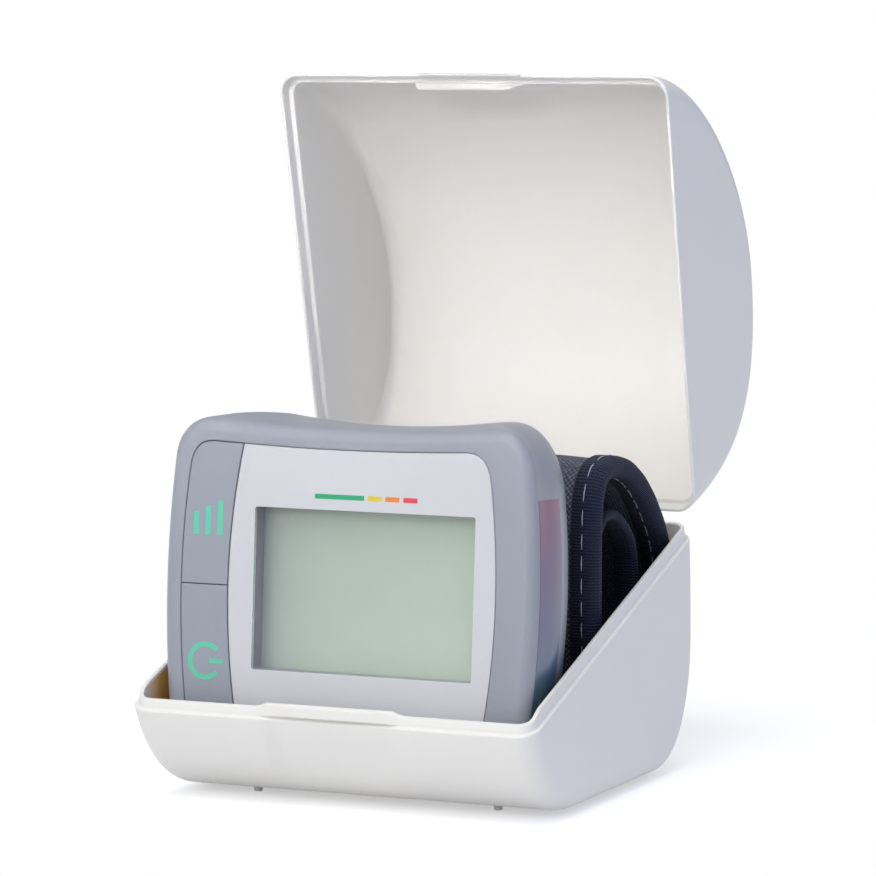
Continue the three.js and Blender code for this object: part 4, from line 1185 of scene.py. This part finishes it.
KEY_GAP = 0.16
KEY_THICKNESS = 1.6
KEY_EDGE = 0.22
STEM_RADIUS = 2.0
STEM_END = 6.5


def build_keys():
    inner = inset(STRIP_OUTLINE, KEY_GAP)
    stem_x = -(STRIP_EDGE + STRIP_OUTER) / 2
    for key, side in (("memory", 1), ("power", -1)):
        shape = Shape()
        plate(shape, clip_half(inner, KEY_GAP / 2, side), 0.0, KEY_THICKNESS, KEY_EDGE)
        stem = (stem_x, side * FIELD_HALF / 2)
        disc_rod(shape, "y", stem, STEM_RADIUS, KEY_THICKNESS - 0.2, STEM_END)
        make_on_monitor(f"{key}_key_cap", shape, KEY, "key_plastic", [f"{key}_button"],
                        body=f"{key}_key")


def window_outline(margin=0.0):
    x0, x1, z0, z1 = WINDOW
    return round_box(x0 - margin, x1 + margin, z0 - margin, z1 + margin, WINDOW_CORNER, 5)


WINDOW_CENTRE = ((WINDOW[0] + WINDOW[1]) / 2, (WINDOW[2] + WINDOW[3]) / 2)


def frame_angles(*outlines):
    """Angles about the window's middle of every point of these outlines, in order."""
    x, z = (np.vstack(outlines) - WINDOW_CENTRE).T
    angles = np.sort(np.arctan2(z, x))
    return angles[np.concatenate([[True], np.diff(angles) > 1e-3])]


def build_lens():
    shape = Shape()
    outer = inset(LENS_OUTLINE, 0.1)
    window = window_outline()
    angles = frame_angles(outer, window)
    edge = 0.2

    def ring(outline, distance, depth):
        return at_depth(on_rays(inset(outline, distance), angles, WINDOW_CENTRE), depth)

    rings = [ring(outer, 0, LENS_THICKNESS)]
    for t in quarter_turns(4)[::-1]:
        rings.append(ring(outer, edge * (1 - math.sin(t)), edge * (1 - math.cos(t))))
    rings.append(ring(outer, 0.6, 0))
    for distance, depth in ((-0.35, 0), (0, 0), (0, LENS_THICKNESS)):
        rings.append(ring(window, distance, depth))
    shape.tube(rings + [rings[0]])
    make_on_monitor("lens_plate", shape, LENS, "lens_print", ["lens_panel"], smooth=30.0)

    pane = Shape()
    hole = inset(window, 0.02)
    pane.rod([at_depth(hole, 0.02), at_depth(hole, LENS_THICKNESS - 0.2)])
    make_on_monitor("window_pane", pane, GLASS, "clear_window", ["display_window"], smooth=30.0)

    # The recess has a real wall, but its darker well colour is painted shade
    well = Shape()
    wall, outer_wall = window_outline(0.05), window_outline(1.0)
    foot = DISPLAY_DEPTH - 0.05
    rings = [at_depth(outer_wall, LENS_THICKNESS + 0.2), at_depth(wall, LENS_THICKNESS + 0.1),
             at_depth(wall, foot), at_depth(outer_wall, foot)]
    well.tube(rings + [rings[0]])
    make_on_monitor("window_well", well, SHADED_WELL, "housing_plastic", smooth=30.0)


def build_display():
    shape = Shape()
    x0, x1, z0, z1 = WINDOW
    margin = 0.8
    outline = np.array([(x0 - margin, z0 - margin), (x1 + margin, z0 - margin),
                        (x1 + margin, z1 + margin), (x0 - margin, z1 + margin)])
    plate(shape, outline, DISPLAY_DEPTH, DISPLAY_DEPTH + 2.6, 0.15)
    make_on_monitor("display_cell", shape, DISPLAY, "display_cell", ["display_glass"], smooth=30.0)


build_front_housing()
build_rear_housing()
build_battery_door()
build_keys()
build_lens()
build_display()


# Signs printed on the keys and the lens

PRINT = 0.03
POWER_SIGN = (-31.2, -15.7)
POWER_RADIUS = 3.42
POWER_STROKE = 1.05
POWER_OPENING = math.radians(40)
POWER_BAR = (0.9, 4.2)
POWER_BAR_HALF = 0.5
MEMORY_SIGN = (-31.3, 13.7)
MEMORY_BARS = ((-2.7, 1.2), (0.0, 2.4), (2.7, 3.6))
MEMORY_BAR_HALF = 0.6
MEMORY_BAR_FOOT = 3.6
SCALE_Z = (18.6, 19.6)
SCALE_BARS = {"green": (-7.3, 3.7), "yellow": (4.5, 7.6), "orange": (8.4, 11.5),
              "red": (12.4, 15.5)}


def printed(name, outlines, material, body, slot):
    """Flat printed signs, each outline a thin plate that stands just proud of the face."""
    shape = Shape()
    for outline in outlines:
        shape.rod([at_depth(outline, -PRINT), at_depth(outline, PRINT)])
    make_on_monitor(name, shape, material, slot, body=body, smooth=0)


def build_signs():
    x, z = POWER_SIGN
    outer, inner = POWER_RADIUS + POWER_STROKE / 2, POWER_RADIUS - POWER_STROKE / 2
    start, end = POWER_OPENING, math.tau - POWER_OPENING
    stroke = closed_chain(arc((x, z), (outer, outer), start, end, 40),
                          arc((x, z), (inner, inner), end, start, 40))
    low, high = POWER_BAR
    bar = round_box(x + low, x + high, z - POWER_BAR_HALF, z + POWER_BAR_HALF, 0.12)
    printed("power_sign", [stroke, bar], TEAL, "power_key", "key_plastic")
    x, z = MEMORY_SIGN
    printed("memory_sign", [
        round_box(x + shift - MEMORY_BAR_HALF, x + shift + MEMORY_BAR_HALF,
                  z - MEMORY_BAR_FOOT, z + rise, 0.3)
        for shift, rise in MEMORY_BARS
    ], TEAL, "memory_key", "key_plastic")
    for color, ends in SCALE_BARS.items():
        printed(f"scale_{color}", [round_box(*ends, *SCALE_Z, 0.1)], BAR_COLORS[color],
                "monitor", "lens_print")


build_signs()


# Labels

LABEL_DEPTHS = (2.9, 13.9)
LABEL_HEIGHTS = (-27.0, 20.2)
LABEL_THICKNESS = 0.04
INNER_DEPTHS = (4.5, 20.0)
INNER_FOOT = 13.0


def build_side_label():
    """The bare label on the right side of the monitor, in one sheet that follows the housing."""
    shape = Shape()
    heights = np.linspace(*LABEL_HEIGHTS, 34)
    rings = []
    for depth in np.linspace(*LABEL_DEPTHS, 10):
        outline = inset(housing_outline(depth), housing_inset(depth) - 0.05)
        right = outline[outline[:, 0] > HALF_WIDTH / 2]
        right = right[np.argsort(right[:, 1])]
        x = np.interp(heights, right[:, 1], right[:, 0]) * side_share(depth)
        rings.append(np.column_stack([x, np.full(len(x), depth), heights]))
    shape.tube(rings, closed=False)
    shape.tube([ring - np.array([LABEL_THICKNESS, 0, 0]) for ring in rings], closed=False)
    make_on_monitor("side_label", shape, SIDE_LABEL, "lens_print", smooth=30.0)


def build_inner_label():
    """The bare label on the left wall inside the tub."""
    shape = Shape()
    rings = []
    for y in np.linspace(*INNER_DEPTHS, 12):
        top = FRONT_RIM + RIM_RISE * y / CASE_DEPTH + LIP_HEIGHT - 0.6
        rings.append([(CASE_WALL + 0.05 - CASE_WIDTH / 2, y, z)
                      for z in np.linspace(INNER_FOOT, top, 8)])
    shape.tube(rings, closed=False)
    make("inner_label", shape, [INNER_LABEL], "case", "lens_print", (), narrowed, smooth=30.0)


build_side_label()
build_inner_label()


# Cuff

BAND_SHARES = [
    (0.065, 0.06), (0.01, 0.3), (0, 0.55), (0.006, 0.77), (0.03, 0.89), (0.09, 0.957),
    (0.2, 0.985), (0.32, 0.984), (0.472, 0.955), (0.638, 0.884), (0.8, 0.773), (0.915, 0.656),
    (0.979, 0.541), (1, 0.42), (0.93, 0.2), (0.75, 0.03), (0.5, -0.02), (0.31, 0),
]
TAIL_SHARES = [
    (0.01, 0.4), (0, 0.6), (0.03, 0.72), (0.14, 0.785), (0.32, 0.79), (0.47, 0.748),
    (0.615, 0.675), (0.67, 0.59), (0.67, 0.45), (0.59, 0.29), (0.41, 0.18), (0.14, 0.13),
]
PAD_PLACES = slice(3, 22)
STITCH_PITCH = 4.6
STITCH_LENGTH = 3.3
STITCH_RADIUS = 0.13
TAIL_HALF = 0.8
TAPE_CLEARANCE = 0.34


def catmull(points):
    """A centripetal curve through points, as a dense line."""
    points = np.array(points, float)
    points = np.vstack([points[0] * 2 - points[1], points, points[-1] * 2 - points[-2]])
    dense = []
    for a, b, c, d in zip(points, points[1:], points[2:], points[3:]):
        t0 = 0.0
        t1 = t0 + math.sqrt(np.linalg.norm(b - a))
        t2 = t1 + math.sqrt(np.linalg.norm(c - b))
        t3 = t2 + math.sqrt(np.linalg.norm(d - c))
        t = np.linspace(t1, t2, 24, endpoint=False)[:, None]
        a1 = (t1 - t) / (t1 - t0) * a + (t - t0) / (t1 - t0) * b
        a2 = (t2 - t) / (t2 - t1) * b + (t - t1) / (t2 - t1) * c
        a3 = (t3 - t) / (t3 - t2) * c + (t - t2) / (t3 - t2) * d
        b1 = (t2 - t) / (t2 - t0) * a1 + (t - t0) / (t2 - t0) * a2
        b2 = (t3 - t) / (t3 - t1) * a2 + (t - t1) / (t3 - t1) * a3
        dense.append((t2 - t) / (t2 - t1) * b1 + (t - t1) / (t2 - t1) * b2)
    return np.vstack(dense + [points[-2:-1]])


class Strip:
    """A line that cloth follows, its directions outwards, and its length up to each point."""

    def __init__(self, line, out):
        self.line = line
        self.out = out
        self.lengths = travelled(line)

    def at(self, length):
        """The place and the direction outwards at a length."""
        return (np.array([np.interp(length, self.lengths, column) for column in track.T])
                for track in (self.line, self.out))


def cuff_strip(shares, front, back, count):
    """A smooth strip through shares of a depth range and of the cuff's height."""
    line = resample(catmull([
        (front + y * (back - front), CUFF_BOTTOM + z * (CUFF_TOP - CUFF_BOTTOM)) for y, z in shares
    ]), count)
    tangent = np.gradient(line, axis=0)
    tangent /= np.linalg.norm(tangent, axis=1)[:, None]
    return Strip(line, np.column_stack([-tangent[:, 1], tangent[:, 0]]))


BAND = cuff_strip(BAND_SHARES, CUFF_FRONT, CUFF_BACK, 260)
TAIL = cuff_strip(TAIL_SHARES, CUFF_FRONT + TAIL_ROOM, CUFF_BACK - TAIL_ROOM, 160)
PAD = Strip(TAIL.line[PAD_PLACES], TAIL.out[PAD_PLACES])


def ripple(x, s):
    """Slow waves of padded cloth."""
    return (math.sin(x * 0.35 + s * 0.05) * 0.5 + math.sin(x * 0.13 - s * 0.083 + 1.3)) * 0.14


def band_half(x):
    across = (x - CUFF_CENTRE) / (CUFF_WIDTH / 2)
    crown = max(0.0, 1 - across ** 2)
    return BAND_EDGE_HALF + (BAND_MID_HALF - BAND_EDGE_HALF) * crown


def closed_band(name, strip, margin, columns, offsets, materials, slot, replaced):
    """A closed padded strip: an outer and an inner sheet joined at their edges and ends."""
    shape = Shape()
    xs = np.linspace(CUFF_LEFT + margin, CUFF_RIGHT - margin, columns)
    sheets = []
    for offset in offsets:
        sheets.append([
            shape.add([(x, *(place + out * offset(x, s))) for x in xs])
            for s, (place, out) in enumerate(zip(strip.line, strip.out))
        ])
    above, below = sheets
    for sheet, kind in ((above, 0), (below, len(materials) - 1)):
        for first, second in zip(sheet, sheet[1:]):
            shape.bridge(first, second, closed=False, kind=kind)
    for a, b, c, d in zip(above, above[1:], below[1:], below):
        for side in (0, -1):
            shape.face((a[side], b[side], c[side], d[side]))
    for end in (0, -1):
        shape.bridge(above[end], below[end], closed=False)
    uv = [(length, x) for length in strip.lengths for x in xs] * 2
    return make(name, shape, materials, "monitor", slot, replaced, uv=uv, smooth=60.0)


def tape_section(edge, side, half, width):
    """Cross section of a folded edge tape: outer leg, round fold, inner leg."""
    inner = edge - side * width
    fold = half + 0.3
    centre = edge - side * fold
    return np.array(
        [(inner, half + 0.05), (inner + side * 0.25, half + 0.32)]
        + [(centre + side * fold * math.cos(t), fold * math.sin(t))
           for t in np.linspace(math.pi / 2, -math.pi / 2, 15)]
        + [(inner + side * 0.25, -half - 0.32), (inner, -half - 0.05),
           (inner + side * 0.4, -half + 0.25), (inner + side * 0.4, half - 0.25)])


def swept_tape(name, strip, edge, side, half, width, replaced=()):
    """An edge tape along a strip, with a slight wave."""
    shape = Shape()
    section = tape_section(edge, side, half, width)
    rings = []
    for place, out, length in zip(strip.line, strip.out, strip.lengths):
        wave = 0.032 * math.sin(length * 0.9)
        rings.append([(x, *(place + out * (y + wave))) for x, y in section])
    shape.rod(rings)
    uv = [(length, around) for length in strip.lengths for around in travelled(section)]
    return make(name, shape, [TAPE], "monitor", "cuff_tape", replaced, uv=uv, smooth=60.0)


def stitches(name, strip, x, height):
    """A row of short threads along a strip, each dipping into the cloth at its ends."""
    shape = Shape()
    turns = np.linspace(0, math.tau, 6, endpoint=False)
    start = 1.5
    while start + STITCH_LENGTH < strip.lengths[-1]:
        rings = []
        for t in np.linspace(0, 1, 7):
            place, out = strip.at(start + STITCH_LENGTH * t)
            swell = math.sin(math.pi * t)
            lift = height + 0.16 * swell - 0.08
            r = STITCH_RADIUS * (0.55 + 0.45 * swell)
            rings.append([
                (x + r * math.cos(turn), *(place + out * (lift + r * math.sin(turn) * 0.7)))
                for turn in turns
            ])
        shape.rod(rings)
        start += STITCH_PITCH
    return make(name, shape, [THREAD], "monitor", "cuff_tape", ())


def build_cuff():
    band = closed_band(
        "cuff_band", BAND, 3.0, 72,
        (lambda x, s: BAND_EDGE_HALF + (band_half(x) - BAND_EDGE_HALF) * 0.25 - 0.2 + ripple(x, s),
         lambda x, s: 0.25 - band_half(x) + ripple(x + 20, s)),
        [MESH_CLOTH, LINING_CLOTH], "cuff_mesh",
        ["cuff_cover", "cuff_lining", "cuff_stiffener", "cuff_bladder"],
    )
    tail = closed_band(
        "cuff_tail_cloth", TAIL, 3.5, 50,
        (lambda x, s: 0.85 + ripple(x, s) * 0.5, lambda x, s: -0.85 + ripple(x, s) * 0.5),
        [TAIL_CLOTH], "cuff_cloth", ["cuff_tail"],
    )
    soft = [band, tail]
    half = band_half(CUFF_LEFT + BINDING / 2)
    for where, edge, side in (("right", CUFF_RIGHT, 1), ("left", CUFF_LEFT, -1)):
        name = "cuff_tape_" + where
        soft.append(swept_tape(name, BAND, edge, side, half, BINDING, ["cuff_binding_" + where]))
        x = edge - side * 3.4
        soft.append(stitches(name + "_stitch_out", BAND, x, half + TAPE_CLEARANCE))
        soft.append(stitches(name + "_stitch_in", BAND, x, -half - TAPE_CLEARANCE))
    for where, edge, side in (("right", CUFF_RIGHT - 2.3, 1), ("left", CUFF_LEFT + 2.3, -1)):
        name = "tail_tape_" + where
        soft.append(swept_tape(name, TAIL, edge, side, TAIL_HALF, 5.0))
        x = edge - side * 3.8
        soft.append(stitches(name + "_stitch", TAIL, x, TAIL_HALF + TAPE_CLEARANCE))
    soft.append(closed_band("hook_pad", PAD, 9.5, 40, (lambda x, s: -0.9, lambda x, s: -2.3),
                            [HOOKS], "hook_pad", ["cuff_fastener"]))
    for piece in soft:
        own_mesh(piece)


build_cuff()


# Materials of the CAD pieces that stay

KEPT = [
    (BLACK, ["display_frame", "memory_switch", "power_switch", "pump_head", "pressure_sensor",
             "buzzer", "cuff_bracket"]),
    (RUBBER, ["display_connector_lower", "display_connector_upper"]),
    (BOARD, ["main_board"]),
    (SILICONE, ["air_manifold", "air_port"]),
    (CELL, ["battery_front", "battery_rear"]),
    (STEEL, ["pump_motor", "exhaust_valve", "battery_contact_left", "battery_contact_right",
             "housing_screw_1", "housing_screw_2", "housing_screw_3", "housing_screw_4"]),
]

for material, names in KEPT:
    for name in names:
        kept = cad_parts[name]
        if not kept.material_slots:
            kept.data.materials.append(material)
        for used in kept.material_slots:
            used.material = material


# Floor, backdrop and light

FLOOR_HALF = 4.0
FLOOR_LIFT = 0.45
SHADOW_NEAR = 0.07
SHADOW_FAR = 0.13


def seen_by_eyes(tree, *rays):
    """1 for these kinds of ray and 0 for the others."""
    path = node(tree, "ShaderNodeLightPath").outputs
    seen = path[rays[0]]
    for ray in rays[1:]:
        both = node(tree, "ShaderNodeMath", {0: seen, 1: path[ray]}, operation="MAXIMUM")
        seen = both.outputs["Value"]
    return seen


def floor_finish():
    """Pale matt floor that the eye sees as white, apart from the shadow near the object."""
    finish = Finish("floor_white", (0.85, 0.85, 0.86), 0.9, Specular_IOR_Level=0.0)
    seen = seen_by_eyes(finish.tree, "Is Camera Ray", "Is Glossy Ray", "Is Transmission Ray")
    strength = finish.math("MULTIPLY", seen, FLOOR_LIFT)
    glow = finish.node("ShaderNodeEmission", {"Strength": strength}, "Emission")
    lifted = finish.node("ShaderNodeAddShader",
                         {0: finish.shader.outputs["BSDF"], 1: glow}, "Shader")
    white = finish.node("ShaderNodeEmission", None, "Emission")
    reach = finish.node("ShaderNodeVectorMath", {0: finish.coordinates()}, "Value",
                        operation="LENGTH")
    away = finish.node("ShaderNodeMapRange",
                       {"From Min": SHADOW_NEAR, "From Max": SHADOW_FAR, "Value": reach},
                       "Result", interpolation_type="SMOOTHSTEP")
    inputs = {"Fac": finish.math("MULTIPLY", away, seen), 1: lifted, 2: white}
    finish.surface(finish.node("ShaderNodeMixShader", inputs, "Shader"))
    return finish.material


def make_stage():
    size = FLOOR_HALF
    mesh = bpy.data.meshes.new("floor")
    mesh.from_pydata([(-size, -size, 0), (size, -size, 0), (size, size, 0), (-size, size, 0)],
                     [], [(0, 1, 2, 3)])
    mesh.materials.append(floor_finish())
    floor = add_object("floor", mesh)


def make_world():
    """Soft cool light from all round, behind a backdrop that the eye sees as white."""
    world = bpy.data.worlds.new("studio")
    bpy.context.scene.world = world
    world.use_nodes = True
    tree = world.node_tree
    light = tree.nodes["Background"]
    light.inputs["Color"].default_value = (0.87, 0.925, 1.0, 1)
    light.inputs["Strength"].default_value = 0.44
    white = node(tree, "ShaderNodeBackground", {"Color": (1, 1, 1, 1), "Strength": 1.0})
    mix = node(tree, "ShaderNodeMixShader", {
        "Fac": seen_by_eyes(tree, "Is Camera Ray", "Is Transmission Ray"),
        1: light.outputs["Background"],
        2: white.outputs["Background"],
    })
    tree.links.new(mix.outputs["Shader"], tree.nodes["World Output"].inputs["Surface"])


def make_lamp(name, place, aim, size, power, color, spread=180.0):
    """A square lamp. Its place, aim and size are in metres, its power in watts."""
    lamp = add_object(name, bpy.data.lights.new(name, "AREA"))
    lamp.location = place
    lamp.rotation_euler = (Vector(aim) - Vector(place)).to_track_quat("-Z", "Y").to_euler()
    lamp.data.shape = "RECTANGLE"
    lamp.data.size = size
    lamp.data.size_y = size
    lamp.data.energy = power
    lamp.data.spread = math.radians(spread)
    lamp.data.color = color


make_stage()
make_world()
AIM = (0, 0, 0.07)
LID_AIM = (-0.01, 0.05, 0.132)
WARM = (1.0, 0.985, 0.955)
make_lamp("key_lamp", (-0.45, -0.95, 0.75), AIM, 0.7, 1.9, WARM)
make_lamp("front_lamp", (0.0, -1.3, 0.45), AIM, 0.6, 3.0, WARM)
make_lamp("fill_lamp", (0.95, -0.2, 0.4), AIM, 0.8, 0.95, (0.05, 0.22, 1.0))
make_lamp("top_lamp", (0.05, -0.45, 1.2), AIM, 0.9, 6.3, (1.0, 0.985, 0.96))
make_lamp("lid_lamp", (0.0, -1.1, 0.42), LID_AIM, 0.1, 0.03, WARM, 12.0)

bpy.context.scene.view_settings.view_transform = "Standard"
